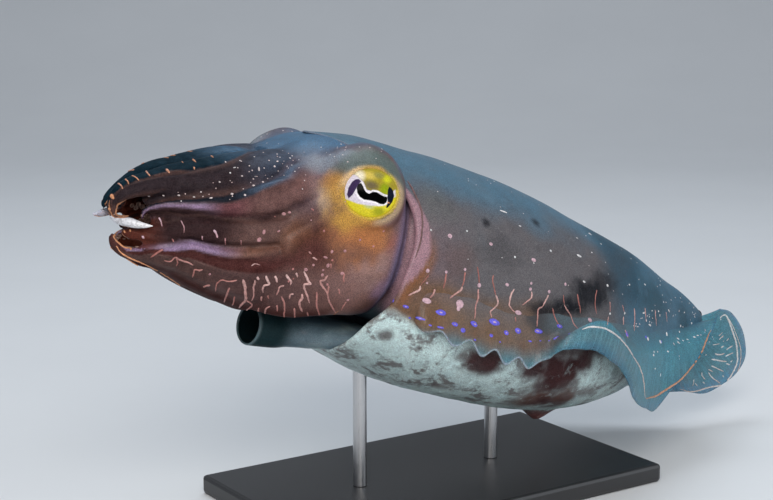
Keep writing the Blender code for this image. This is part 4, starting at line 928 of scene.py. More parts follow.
def set_lids(points):
    """Draws the skin round each eye down to the eye's surface, as a rounded lid."""
    out_points = points.copy()
    stand = sizes().lid_stand * 1000
    for side in (-1, 1):
        centre, out, back, up = eye_frame(side)
        local = points - centre
        w, s, v = local @ out, local @ back, local @ up
        rho = oval(s, v, OPENING)
        near = (w > 2) & (rho < 1.6) & (points[:, 1] * side > 8)
        edge = eye_height(s / np.maximum(rho, 1), v / np.maximum(rho, 1)) + stand
        lift = np.sin(np.clip((rho - 1.0) / 0.55, 0, 1) * np.pi / 2) ** 0.9
        inner = eye_height(s, v) - 1.6 * ease(1.0, 0.9, rho) + stand * ease(0.9, 1.0, rho) - 0.3 * fall(0.9, 1.0, rho)
        target = np.where(rho <= 1.0, inner, edge * (1 - lift) + w * lift)
        out_points += np.where(near, target - w, 0.0)[:, None] * out
    return out_points


def band_colour(name, x, phi, fine, middle, upper, lower):
    """The colour along one band of the arms: middle is 1 on its centre line and 0 at its edges."""
    coat = Coat(len(x), name)
    if name == "teal":
        coat.lay(ease(-122, -90, x), crown=0.75)
    if name == "brown":
        coat.lay(fall(0.0, 0.55, middle) * 0.8, maroon=0.85)
        coat.lay(ease(-112, -90, x) * 0.8, crown=0.4, maroon=0.2)
    if name == "ink":
        coat.lay(ease(-112, -94, x), crown=0.55, maroon=0.2)
    if name == "dusky":
        coat.lay(ease(-112, -98, x), maroon=0.8, dusky=0.2)
        coat.lay(fall(-127, -112, x + fine * 2), lilac=1)
        # Painted shade: the lower part of the dusky band and its lower edge are darkened with plum, as shade below the
        # lilac ridge.
        coat.lay(ease(upper + 3.2, upper + 6.0, phi) * fall(-124, -104, x), plum=1.2)
        coat.lay(fall(0.1, 0.6, middle) * ease(-118, -108, x) * (phi > (upper + lower) / 2), plum=1.3)
    if name == "lilac":
        coat.lay(ease(-118, -98, x + fine * 2), maroon=0.9, orange=0.18)
    if name == "plum":
        coat.lay(ease(-116, -98, x), maroon=0.9)
    return coat.tint


def paint_eye_surround(coat, points, fine):
    """Lays the gold, amber and cream skin round each eye."""
    for side in (-1, 1):
        centre, out, back, up = eye_frame(side)
        local = points - centre
        s, v = local @ back, local @ up
        rho = oval(s, v, OPENING)
        ring = ((local @ out > 4) & (points[:, 1] * side > 10)) * ease(0.86, 0.96, rho)
        coat.lay(ring * fall(1.10, 1.60, rho + fine * 0.1) * ease(6, -3, s) * ease(9, 3, v) * 0.75, amber=0.8)
        near = rho + fine * 0.06
        coat.lay(ring * fall(1.0, 1.14, near) * np.maximum(ease(3, 9, s), ease(0, -6, v)) * 0.85, gold=0.8)
        coat.lay(ring * fall(1.0, 1.2, near) * ease(3, 8, v) * ease(7, 2, s) * 0.8, amber=0.7, gold=0.2)
        coat.lay(ring * fall(1.18, 1.42, rho) * ease(1.06, 1.14, rho) * ease(2, 8, s) * fall(6, 11, v) * 0.9, cream=1)
        coat.lay(ring * fall(1.06, 1.22, rho) * ease(-4, -9, s) * ease(-2, 3, v) * 0.7, cream=1.2)
        coat.lay(ring * fall(1.5, 1.9, rho) * ease(1.05, 1.25, rho) * ease(3, 9, v) * 0.8, brow=1)


def paint_head(points, normal, skin):
    """The colour of each point of the head-and-arms skin, and its angle from the middle of the back."""
    flat, turned, arm, share = unroll_ends(points, normal)
    x, y, z = flat.T
    phi, depth = round_angle(flat)
    rough = wobble(points, 0.06, 1.0)
    fine = wobble(points, 0.22, 2.0)
    coat = Coat(len(points), "maroon")
    coat.lay(ease(-0.1, 0.7, rough), maroon=1.35, plus=0.01)
    coat.lay(fall(8, 52, phi + rough * 8) * ease(-100, -80, x), crown=1)
    brow = fall(0.25, 0.9, np.abs(phi - 52) / 22) * ease(-82, -70, x) * fall(-60, -52, x)
    coat.lay(brow * 0.6, maroon=0.8, lilac=0.22)
    coat.lay(blot(x, z, (-48, 1), (24, 17), 0.2) * (0.6 + 0.3 * fine), orange=0.9)
    for name, mask in patches_on(points, skin, HEAD_PATCHES, fine):
        coat.lay(mask, colour(name))
    paint_eye_surround(coat, points, fine)
    coat.lay(ease(-38, -28, x) * fall(30, 44, z) * 0.75, neck=0.62)
    coat.lay(blot(x, z, (-60, -18), (26, 13), 0.4) * 0.6, maroon=0.75, pink=0.1)
    head_end = ease(-33, -27.5, x) * fall(-24.5, -22.5, x)
    coat.lay(head_end * (0.5 + 0.45 * fall(-10, 20, z)), NAPE_COLOUR)
    coat.lay(ease(-24, -21, x), neck=1)
    under = ease(138, 160, phi) * ease(-86, -74, x)
    coat.lay(under, funnel_base=0.7)

    mottle = wobble(points, 0.30, 6.0) * 0.6 + wobble(points, 0.6, 8.0) * 0.4
    soft = 1.6 + 7.5 * ease(-104, -72, x)
    off = phi + rough * 1.6 * (1 + soft / 4)
    upper = np.full(len(points), -5.0)
    for table, name, start, end in ARM_BANDS:
        lower = curve(table, x)
        mask = ease(0, 1, (off - upper) / soft / 2 + 0.5) * fall(0, 1, (off - lower) / soft / 2 + 0.5)
        middle = 1 - np.clip(np.abs((phi - (upper + lower) / 2) / np.maximum((lower - upper) / 2, 1)), 0, 1)
        tint = band_colour(name, x, phi, fine, middle, upper, lower)
        # Painted shade and light: each band is brightened along its middle and darkened towards its edges, as a rounded
        # arm lit from above; the mottle term is the skin's own.
        coat.lay(mask * fall(start, end, x), tint * (0.58 + 0.44 * np.sqrt(middle) + 0.34 * mottle)[:, None])
        upper = lower
    web = Coat(len(points), "flap")
    web.lay(fall(-118, -104, x) * 0.8, maroon=0.6)
    web.lay(fall(-131, -124, x) * 0.8, maroon=1.25)
    web.lay(ease(138, 160, phi - rough * 6) * 0.95, hem=1)
    edge = ease(-1.5, 1.5, phi - curve(SHADE_BAND, x))
    coat.lay(edge * fall(-84, -60, x), web.tint * (1 + 0.30 * mottle)[:, None])
    coat.lay(ease(100, 116, phi) * fall(-64, -52, x) * ease(-86, -78, x) * 0.55, flap=1.1)
    coat.lay(ease(124, 140, phi + rough * 6) * fall(-60, -46, x) * ease(-90, -80, x) * (1 - under) * 0.85, hem=1)

    axis = np.stack((np.zeros(len(points)), y, z + 4), -1)
    axis /= np.linalg.norm(axis, axis=1)[:, None] + 1e-9
    inside = ease(0.05, 0.5, -(turned * axis).sum(1)) * fall(-88, -82, x) * fall(0.84, 0.98, depth)
    coat.lay(inside, inner=1)
    for code, name, strength, start, end in ARM_END_TINTS:
        coat.lay((arm == code) * ease(start, end, share) * strength * (1 - 0.6 * inside * (code > 5)), colour(name))
    return coat.tint, phi


def unroll_ends(points, normal):
    """Points and normals on the arms' free ends, laid back straight before the split, with arm and share of its end."""
    flat = points.copy()
    turned = normal.copy()
    arm = np.full(len(points), -1)
    share = np.zeros(len(points))
    best = np.full(len(points), 9.0)
    for index in range(4):
        for side in (-1, 1):
            _, centre, frames = arm_frames(index, side, 36)
            spots, turns, scales = (np.array([frame[column] for frame in frames]) for column in range(3))
            pick = np.where((points[:, 0] < ARM_SPLIT) & (points[:, 1] * side > -5))[0]
            mirror = np.array((1, -side, 1))
            local = points[pick] * mirror
            d = np.linalg.norm(local[:, None] - spots[None], axis=2)
            k = d.argmin(1)
            reach = d.min(1) / (6.0 * scales[k] + 1.2)
            closer = reach < best[pick]
            chosen = pick[closer]
            k = k[closer]
            best[chosen] = reach[closer]
            back = np.einsum("nij,ni->nj", turns[k], local[closer] - spots[k]) / np.maximum(scales[k], 0.25)[:, None]
            flat[chosen] = (centre + back) * mirror
            flat[chosen, 0] = ARM_SPLIT - 0.5
            turned[chosen] = np.einsum("nij,ni->nj", turns[k], normal[chosen] * mirror) * mirror
            arm[chosen] = index * 2 + (side > 0)
            share[chosen] = k / 36
    return flat, turned, arm, share


def relief_head(points, phi):
    """Folds and grooves on the skin of head and arms, in millimetres along the normal."""
    x, y, _ = points.T
    height = wobble(points, 0.045, 5.0) * 0.35 * ease(-90, -60, x)
    fade = fall(-84, -66, x)
    for table, deep, wide in GROOVES:
        height = height - deep * hill(phi, curve(table, x), wide) * fade
    height = height + 0.9 * hill(phi, (curve(THIRD_BAND, x) + curve(RIDGE_BAND, x)) / 2, 3.4) * fade
    return height - 0.7 * hill(x, -24.0, 2.2) * (np.abs(y) > 30)


class Tree:
    """Adds and links nodes in one node tree."""

    def __init__(self, tree):
        self.tree = tree
        self.x = 0

    def add(self, kind, settings=None, **inputs):
        node = self.tree.nodes.new(kind)
        self.x += 180
        node.location = (self.x, 0)
        for key, value in (settings or {}).items():
            setattr(node, key, value)
        return self.fill(node, **inputs)

    def fill(self, node, **inputs):
        """Sets or links a node's inputs, by name with _ for a space or by i and the number."""
        for key, value in inputs.items():
            spot = int(key[1:]) if key[0] == "i" and key[1:].isdigit() else key.replace("_", " ")
            if isinstance(value, bpy.types.Node):
                value = value.outputs[0]
            if isinstance(value, bpy.types.NodeSocket):
                self.tree.links.new(value, node.inputs[spot])
            else:
                node.inputs[spot].default_value = value
        return node

    def math(self, operation, a, b=0.0, clamp=False):
        return self.add("ShaderNodeMath", {"operation": operation, "use_clamp": clamp}, i0=a, i1=b).outputs[0]

    def times(self, a, b, plus=None):
        product = self.math("MULTIPLY", a, b)
        return product if plus is None else self.math("ADD", product, plus)

    def mix(self, factor, a, b, blend="MIX"):
        node = self.add("ShaderNodeMix", {"data_type": "RGBA", "blend_type": blend}, i0=factor, i6=a, i7=b)
        return node.outputs[2]

    def shaded(self, tint, *shade):
        """A colour multiplied by another."""
        return self.mix(1.0, tint, rgba(shade), "MULTIPLY")

    def steps(self, value, low, high, top=1.0):
        settings = {"interpolation_type": "SMOOTHSTEP"}
        return self.add("ShaderNodeMapRange", settings, i0=value, i1=low, i2=high, i3=0.0, i4=top).outputs[0]

    def noise(self, place, scale, detail, **inputs):
        return self.add("ShaderNodeTexNoise", None, Vector=place, Scale=scale, Detail=detail, **inputs).outputs[0]

    def stored(self, name, output="Fac"):
        """What is stored on a mesh's points, in a material."""
        return self.add("ShaderNodeAttribute", {"attribute_name": name}).outputs[output]

    def named(self, name, kind="FLOAT_VECTOR"):
        """What is stored on a mesh's points, in a geometry tree."""
        return self.add("GeometryNodeInputNamedAttribute", {"data_type": kind}, Name=name).outputs["Attribute"]

    def bump(self, strength, distance, height):
        return self.add("ShaderNodeBump", None, Strength=strength, Distance=distance, Height=height)

    def place(self, scale):
        """The Object coordinates with a scale, or as they are."""
        place = self.add("ShaderNodeTexCoord").outputs["Object"]
        return self.add("ShaderNodeMapping", None, Vector=place, Scale=scale).outputs[0] if scale else place

    def finish(self, *results):
        out = self.add("NodeGroupOutput")
        for k, result in enumerate(results):
            self.fill(out, **{"i%d" % k: result})

    def finish_shape(self, shape, material):
        """Ends a geometry tree with a plain mesh of one material."""
        solid = self.add("GeometryNodeRealizeInstances", None, Geometry=shape)
        self.finish(self.add("GeometryNodeSetMaterial", None, Geometry=solid, Material=material))


def rgba(value):
    return (*(float(v) for v in value), 1.0)


def group(name, kind, inputs, outputs, build):
    """The group of a name, built at its first use: inputs and outputs are labels with a kind and a default value."""
    if name not in bpy.data.node_groups:
        tree = bpy.data.node_groups.new(name, kind + "NodeTree")
        for way, sockets in (("INPUT", inputs), ("OUTPUT", outputs)):
            for label, socket, *default in sockets:
                item = tree.interface.new_socket(label, in_out=way, socket_type="NodeSocket" + socket)
                if default:
                    item.default_value = default[0]
        t = Tree(tree)
        build(t, *t.add("NodeGroupInput").outputs[:len(inputs)])
    return bpy.data.node_groups[name]


def speckle_group():
    """Fine pigment grain, soft mottle and a height for the wet skin's relief, from a place in millimetres."""
    def build(t, place, grain, mottle, crease):
        cells = t.add("ShaderNodeTexVoronoi", {"feature": "F1"}, Vector=place, Scale=grain, Randomness=1.0)
        fine = t.noise(place, grain, 4.0, Roughness=0.65)
        spot = t.steps(cells.outputs["Distance"], 0.25, 0.75)
        mixed_grain = t.times(spot, 0.6, t.times(fine, 0.4))
        creases = t.noise(place, crease, 6.0, Roughness=0.62)
        height = t.times(creases, 0.8, t.times(mixed_grain, 0.2))
        t.finish(mixed_grain, t.noise(place, mottle, 5.0, Roughness=0.6), height)

    return group("skin speckle", "Shader", (
        ("Place", "Vector"), ("Grain scale", "Float", 2.3), ("Mottle scale", "Float", 0.16),
        ("Crease scale", "Float", 0.5),
    ), (("Grain", "Float"), ("Mottle", "Float"), ("Height", "Float")), build)


def thread_group():
    """Thin pale threads in the skin, as a mask."""
    def build(t, place, scale, width):
        warp = t.add("ShaderNodeTexNoise", None, Vector=place, Scale=0.12, Detail=3.0).outputs[1]
        moved = t.add("ShaderNodeVectorMath", {"operation": "MULTIPLY_ADD"}, i0=warp, i1=(9.0, 9.0, 9.0), i2=place)
        cells = t.add("ShaderNodeTexVoronoi", {"feature": "DISTANCE_TO_EDGE"}, Vector=moved, Scale=scale)
        t.finish(t.steps(cells.outputs["Distance"], width, 0.0))

    return group("skin threads", "Shader", (
        ("Place", "Vector"), ("Scale", "Float", 0.1), ("Width", "Float", 0.03),
    ), (("Threads", "Float"),), build)


def new_material(name, scale=(1000.0, 1000.0, 1000.0)):
    """A material, its tree, its shader and the places in it, in millimetres if no other scale is given."""
    made = bpy.data.materials.new(name)
    made.use_nodes = True
    made.node_tree.nodes.clear()
    t = Tree(made.node_tree)
    shader = t.add("ShaderNodeBsdfPrincipled")
    t.add("ShaderNodeOutputMaterial", None, i0=shader)
    return made, t, shader, t.place(scale)


def speckled(t, tint, speckle, grain):
    """The stored colour broken up by grain and mottle."""
    dark = t.shaded(tint, 0.45, 0.43, 0.45)
    light = t.shaded(tint, 1.55, 1.5, 1.45)
    look = t.mix(t.steps(speckle.outputs["Grain"], 0.30, 0.66), dark, light)
    look = t.mix(grain, tint, look)
    look = t.mix(t.steps(speckle.outputs["Mottle"], 0.52, 0.72, 0.35), look, dark)
    return t.mix(t.steps(speckle.outputs["Mottle"], 0.46, 0.30, 0.3), look, light)


def flesh_material(name, roughness, coat, grain, relief=0.0003, threads=0.0, belly=False, subsurface=0.12):
    """Wet speckled skin over the colours stored on the mesh."""
    made, t, shader, place = new_material(name)
    tint = t.stored("tint", "Color")
    speckle = t.add("ShaderNodeGroup", {"node_tree": speckle_group()}, Place=place)
    look = speckled(t, tint, speckle, grain)
    if belly:
        under = t.stored("belly")
        wide = t.noise(place, 0.075, 7.0, Roughness=0.68, Distortion=0.6)
        blotch = t.times(wide, 0.72, t.times(t.noise(place, 0.35, 6.0, Roughness=0.7), 0.28))
        dark = t.times(t.steps(blotch, 0.50, 0.60), under)
        look = t.mix(t.times(dark, 0.80), look, rgba(colour("belly_dark")))
        bright = t.times(t.steps(blotch, 0.44, 0.36), under)
        look = t.mix(t.times(bright, 0.7), look, rgba(np.minimum(colour("belly") * 1.45, 0.9)))
    if threads:
        net = t.add("ShaderNodeGroup", {"node_tree": thread_group()}, Place=place, Scale=0.055, Width=0.012)
        gaps = t.steps(speckle.outputs["Mottle"], 0.45, 0.62, threads)
        look = t.mix(t.times(net.outputs[0], gaps), look, rgba(mixed(white=0.6)))
    gloss = t.steps(t.add("ShaderNodeRGBToBW", None, Color=tint).outputs[0], 0.0, 0.11)
    t.fill(shader, Base_Color=look, Roughness=t.times(speckle.outputs["Grain"], 0.22, roughness - 0.11),
           Normal=t.bump(0.55, relief, speckle.outputs["Height"]), Coat_Weight=t.times(gloss, coat), Coat_Roughness=0.2,
           Specular_IOR_Level=t.times(gloss, 0.26), Subsurface_Weight=subsurface,
           Subsurface_Radius=(1.0, 0.45, 0.3), Subsurface_Scale=0.002)
    return made


def marking_material(name, dark, light, roughness=0.45):
    """Uneven pigment between two colours by the tone stored on the mesh."""
    made, t, shader, place = new_material(name)
    patch = t.noise(place, 0.9, 3.0, Roughness=0.6)
    look = t.mix(t.stored("tone"), rgba(dark), rgba(light))
    deep = t.shaded(look, *(1 - 0.22 * 1.7,) * 3)
    t.fill(shader, Base_Color=t.mix(t.steps(patch, 0.35, 0.62), deep, look), Coat_Weight=0.08, Specular_IOR_Level=0.3,
           Roughness=t.times(patch, 0.2, roughness - 0.1), Normal=t.bump(0.3, 0.0001, patch))
    return made


def line_tree():
    """Tubes along the edges of a mesh, as wide as its width attribute says."""
    def build(t, paths, sides, radius, material):
        width = t.times(t.named("width", "FLOAT"), radius)
        path = t.add("GeometryNodeMeshToCurve", None, Mesh=paths)
        wide = t.add("GeometryNodeSetCurveRadius", None, Curve=path, Radius=width)
        profile = t.add("GeometryNodeCurvePrimitiveCircle", None, Resolution=sides, Radius=1.0)
        tube = t.add("GeometryNodeCurveToMesh", None, Curve=wide, i1=profile, Fill_Caps=True)
        if "Scale" in tube.inputs:
            t.fill(tube, Scale=width)
        t.finish_shape(tube, material)

    return group("skin line", "Geometry", (
        ("Paths", "Geometry"), ("Sides", "Int", 6), ("Radius", "Float", 0.0005), ("Material", "Material"),
    ), (("Geometry", "Geometry"),), build)


def spot_tree():
    """Low domes on points, turned and stretched by the points' attributes."""
    def build(t, points, sides, rings, radius, material):
        dome = t.add("GeometryNodeMeshUVSphere", None, Segments=sides, Rings=rings, Radius=radius)
        stand = t.add("FunctionNodeAlignRotationToVector", {"axis": "Z"}, Vector=t.named("facing"))
        turned = t.add("FunctionNodeAlignRotationToVector", {"axis": "X", "pivot_axis": "Z"}, Rotation=stand,
                       Vector=t.named("along"))
        t.finish_shape(t.add("GeometryNodeInstanceOnPoints", None, Points=points, Instance=dome, Rotation=turned,
                             Scale=t.named("size")), material)

    return group("skin spot", "Geometry", (
        ("Points", "Geometry"), ("Sides", "Int", 9), ("Rings", "Int", 5), ("Radius", "Float", 0.0008),
        ("Material", "Material"),
    ), (("Geometry", "Geometry"),), build)


def cup_tree():
    """Sucker cups on points, turned and sized by the points' attributes."""
    def build(t, points, cup, radius, material):
        shape = t.add("GeometryNodeObjectInfo", {"transform_space": "ORIGINAL"}, Object=cup).outputs["Geometry"]
        stand = t.add("FunctionNodeAlignRotationToVector", {"axis": "Z"}, Vector=t.named("facing"))
        size = t.add("ShaderNodeVectorMath", {"operation": "SCALE"}, i0=t.named("size"), Scale=radius)
        t.finish_shape(t.add("GeometryNodeInstanceOnPoints", None, Points=points, Instance=shape, Rotation=stand,
                             Scale=size), material)

    return group("sucker rows", "Geometry", (
        ("Points", "Geometry"), ("Cup", "Object"), ("Radius", "Float", 0.0019), ("Material", "Material"),
    ), (("Geometry", "Geometry"),), build)


def grow(mesh, tree, values, look):
    """Runs a tree on a mesh, its inputs set by their identifiers, and keeps the result as a piece of its name."""
    obj = new_piece(mesh.name, mesh)
    modifier = obj.modifiers.new("grow", "NODES")
    modifier.node_group = tree
    values = {**values, "Material": look}
    for item in tree.interface.items_tree:
        if item.item_type == "SOCKET" and item.in_out == "INPUT" and item.name in values:
            modifier[item.identifier] = values[item.name]
    evaluated(obj)
    for layer in [a.name for a in obj.data.attributes if a.name in ("facing", "along", "size", "width")]:
        obj.data.attributes.remove(obj.data.attributes[layer])
    finish_piece(obj, look)


def points_mesh(name, spots):
    """A mesh of loose points with facing, along, size and tone: spots holds (place, facing, along, size, tone)."""
    columns = [np.array(column, float) for column in zip(*spots)]
    mesh = mesh_of(name, to_world(columns[0]), [])
    for label, column in (("facing", 1), ("along", 2)):
        turned = to_world(columns[column]) - to_world(np.zeros(3))
        set_vector(mesh, turned / (np.linalg.norm(turned, axis=1)[:, None] + 1e-12), label)
    set_vector(mesh, columns[3], "size")
    set_mask(mesh, columns[4], "tone")
    return mesh


def line_piece(name, paths, sides, look):
    """Tubes along chains of edges: paths holds lists of (place, half-width, tone)."""
    edges = []
    start = 0
    for path in paths:
        edges.extend((start + i, start + i + 1) for i in range(len(path) - 1))
        start += len(path)
    spots, widths, tones = zip(*(step for path in paths for step in path))
    mesh = mesh_of(name, to_world(np.array(spots)), [], edges)
    set_mask(mesh, widths, "width")
    set_mask(mesh, tones, "tone")
    grow(mesh, line_tree(), {"Radius": MM, "Sides": sides}, look)


def spot_piece(name, spots, sides, rings, look):
    grow(points_mesh(name, spots), spot_tree(), {"Radius": MM, "Sides": sides, "Rings": rings}, look)


def camera_axes():
    """The camera's place and its axes to the right, up and away from what it looks at."""
    far, azimuth, elevation = CAMERA[:3]
    a = math.radians(azimuth)
    e = math.radians(elevation)
    away = Vector((math.sin(a) * math.cos(e), -math.cos(a) * math.cos(e), math.sin(e)))
    right = Vector((0, 0, 1)).cross(away).normalized()
    return Vector(LOOK_AT) + away * far, right, away.cross(right), away


def sight(px, py):
    """Start and a later point of the camera's ray through a place in the picture, in the animal's own frame."""
    start, right, up, away = camera_axes()
    wide = CAMERA[3] / CAMERA[4] * PICTURE[0]
    way = right * (px - PICTURE[0] / 2) + up * (PICTURE[1] / 2 - py) - away * wide
    return to_body(np.array(start)), to_body(np.array(start + way.normalized()))


class Skin:
    """Finds places on finished pieces, in the animal's own frame, as a place and the skin's normal there."""

    def __init__(self, *names):
        points = []
        faces = []
        for mesh in (PIECES[name].data for name in names):
            faces.extend(tuple(v + len(points) for v in p.vertices) for p in mesh.polygons)
            points.extend(to_body(read(mesh, "co")))
        self.tree = BVHTree.FromPolygons([Vector(p) for p in points], faces)

    def nearest(self, place):
        hit, normal, _, _ = self.tree.find_nearest(Vector(place))
        return np.array(hit), np.array(normal)

    def drop(self, start, aim):
        """The first place on the skin from a start towards an aim."""
        way = (Vector(aim) - Vector(start)).normalized()
        hit, normal, _, _ = self.tree.ray_cast(Vector(start), way)
        if hit is None:
            return None
        return np.array(hit), np.array(-normal if normal.dot(way) > 0 else normal)

    def seen(self, px, py, side=-1):
        """The skin where the camera sees a place in the picture, or its mirrored place on the other side."""
        hit = self.drop(*sight(px, py))
        if hit is None or side < 0:
            return hit
        place, normal, _, far = self.tree.find_nearest(Vector(hit[0] * (1, -1, 1)))
        if place is None or far > MIRROR_REACH:
            return None
        return np.array(place), np.array(-normal if normal.dot(Vector(hit[1] * (1, -1, 1))) < 0 else normal)

    def head(self, x, phi, side):
        """The skin of head and arms at x and an angle from the middle of the back."""
        wide, level, high = (float(v) for v in section(OUTLINE, x))
        y = side * wide * float(bent(math.sin(math.radians(phi)), 1 / 1.4))
        z = high * float(bent(math.cos(math.radians(phi)), 1 / 1.4))
        return self.drop((x, y * 1.9, level + z * 1.9), (x, 0, level))

    def mantle(self, x, angle, side):
        """The skin of mantle or fin at x and an angle above the widest line, seen from the side."""
        p = mantle_at(float(x), float(angle))
        p[1] *= side
        level = float(curve(MANTLE, x, 4))
        return self.drop((x, p[1] * 1.9, p[2] + (p[2] - level) * 0.9), (x, 0, level * 0.5 + p[2] * 0.5))


def paint_mantle(points, skin):
    """The colour of each point of the mantle's skin, with the masks of the belly and of its dark patches."""
    x, y, z = points.T
    elevation = np.degrees(np.arctan2(z - curve(MANTLE, x, 4), np.abs(y)))
    rough = wobble(points, 0.028, 6.0, 3)
    fine = wobble(points, 0.10, 7.0)
    coat = Coat(len(points), "flank")
    # Slate-blue over the top of the mantle, with lighter patches in front: partly the skin's own colour, partly painted
    # blue ambient light falling on the top.
    coat.lay(ease(38, 64, elevation + rough * 12) * 0.9, back=1)
    coat.lay(ease(0.1, 0.8, rough) * ease(14, 30, elevation) * fall(20, 60, x) * 0.5, back=0.55, plus=0.06)
    coat.lay(fall(-20, 12, x) * fall(22, 50, elevation) * 0.5, neck=0.5)
    coat.lay(ease(92, 140, x + rough * 20) * (1 - ease(70, 90, elevation) * 0.5) * 0.9, rear=1)
    dim = ease(92, 112, x) * fall(128, 150, x + rough * 14)
    coat.lay(dim * ease(8, 26, elevation) * fall(62, 84, elevation) * 0.7, rear=0.45)
    coat.lay(fall(3, 17, elevation + rough * 6) * fall(30, 95, x) * (0.85 + 0.2 * fine), olive=1)
    coat.lay(fall(0, 14, elevation) * ease(30, 70, x) * fall(95, 130, x) * 0.8, olive=0.6, rear=0.4)
    below = fall(-11, -6.5, elevation + fine * 2)
    # Painted shade: the mint-white belly is darkened towards the bottom, where less light falls.
    coat.lay(below, colour("belly") * (1 - 0.20 * ease(-34, -64, z))[:, None])
    dusk = np.zeros(len(points))
    for name, mask in patches_on(points, skin, MANTLE_PATCHES, fine + rough + wobble(points, 0.3, 9.0) * 0.7):
        coat.lay(mask, colour(name))
        if name in ("wine", "umber", "red"):
            dusk = np.maximum(dusk, mask * (z < 0))
    coat.lay(below * ease(128, 160, x) * 0.8, rear=1.2)
    knob = np.exp(-((x - BUMP_X) / 12.0) ** 4 - (y / 10.0) ** 4)
    coat.lay(knob * (z < -40) * 0.95, wine=2.4, pink=0.35)
    behind = x - np.interp(np.clip(elevation, -90, 90), *zip(*COLLAR))
    wide = 1.4 + 7.2 * np.clip(1 - ((elevation - 31) / 26) ** 2, 0, 1)
    collar = fall(wide - 1.2, wide + 1.0, behind) * (1 - ease(50, 80, elevation) * 0.8)
    coat.lay(collar * ease(-6, 8, elevation), neck=1)
    seam = fall(wide + 1.0, wide + 6.0, behind) * ease(wide - 1.2, wide + 0.4, behind)
    coat.lay(seam * ease(-8, 0, elevation) * fall(16, 34, elevation) * 0.8, orange=0.5)
    return coat, below, dusk


class BuildMantle(bpy.types.Operator):
    """Makes the mantle's skin with its collar and the cup behind it"""
    bl_idname = "cuttlefish.mantle"
    bl_label = "Mantle"

    def execute(self, context):
        around, along = 264, 205
        angle = np.arange(around) * 360.0 / around - 90.0
        folded = np.where(angle <= 90, angle, 180 - angle)
        front = curve(COLLAR, folded)
        lip = np.interp(folded, (-90, 30, 55, 90), (LIP, LIP, 0.968, 0.972))
        cup = ((1.0, 0.05), (0.8, 0.036), (0.6, 0.024), (0.4, 0.014), (0.25, 0.007), (0.12, 0.002))
        rows = [mantle_at(front + 1.6 + (CUP_END - front - 1.6) * depth, angle, lip - thin) for depth, thin in cup]
        for k in range(9):
            theta = math.pi * k / 8
            scale = lip + (1 - lip) * (1 - math.cos(theta)) / 2
            rows.append(mantle_at(front + 1.6 - 1.6 * math.sin(theta), angle, scale))
        for k in range(1, along + 1):
            t = (k / along) ** 0.97
            t = t + 0.02 * math.sin(math.pi * t)
            rows.append(mantle_at(front + 1.6 + (TAIL_X - 0.2 - front - 1.6) * t, angle))
        rows = np.array(rows)
        points, faces = skin_over(rows)
        x, y, z = points.T
        mesh = mesh_of("mantle_skin", to_world(points), faces)
        face_outwards(mesh)
        outside = np.ones(len(points))
        outside[:around * len(cup)] = 0
        lumps = wobble(points, 0.035, 3.0) * 0.5
        lumps += wobble(points, 0.11, 4.0) * 0.28 * ease(-18, -40, z)
        band = z - curve(MANTLE, x, 4)
        shelf = 1.3 * hill(band, 2.0, 3.5) * ease(-20, 0, x)
        calm = ease(0, 6, x - curve(COLLAR, np.degrees(np.arctan2(band, np.abs(y)))))
        height = (lumps + shelf * 0.5) * outside * calm * ease(TAIL_X, TAIL_X - 14, x)
        moved = points + body_normals(mesh) * (height - 0.25 * outside)[:, None]
        moved[:, 2] -= 9.2 * np.exp(-(np.abs(x - BUMP_X) / 10.0) ** 1.7 - (y / 8.0) ** 2) * (z < -40)
        set_places(mesh, moved)

        obj = new_piece("mantle_skin", mesh)
        PIECES[obj.name] = obj
        coat, below, dusk = paint_mantle(points, Skin(obj.name))
        coat.lay(1 - outside, neck=0.8)
        coat.lay((1 - outside) * fall(-5, 12, z), hem=1)
        set_tint(mesh, coat.tint)
        set_mask(mesh, below * (1 - dusk * 0.75), "belly")
        lengths = np.linalg.norm(np.diff(rows[:, list(range(around)) + [0]], axis=1), axis=2)
        arc = np.concatenate((np.zeros((len(rows), 1)), np.cumsum(lengths[:, :-1], axis=1)), 1)
        set_skin_map(mesh, np.append(rows[..., 0].ravel(), (CUP_END, TAIL_X)), np.append(arc.ravel(), (0, 0)),
                     float(lengths.sum(1).mean()) / 10)
        finish_piece(obj, flesh_material("mantle skin", 0.52, 0.08, 0.55, 0.0003, 0.12, True), ["mantle"])
        return {"FINISHED"}


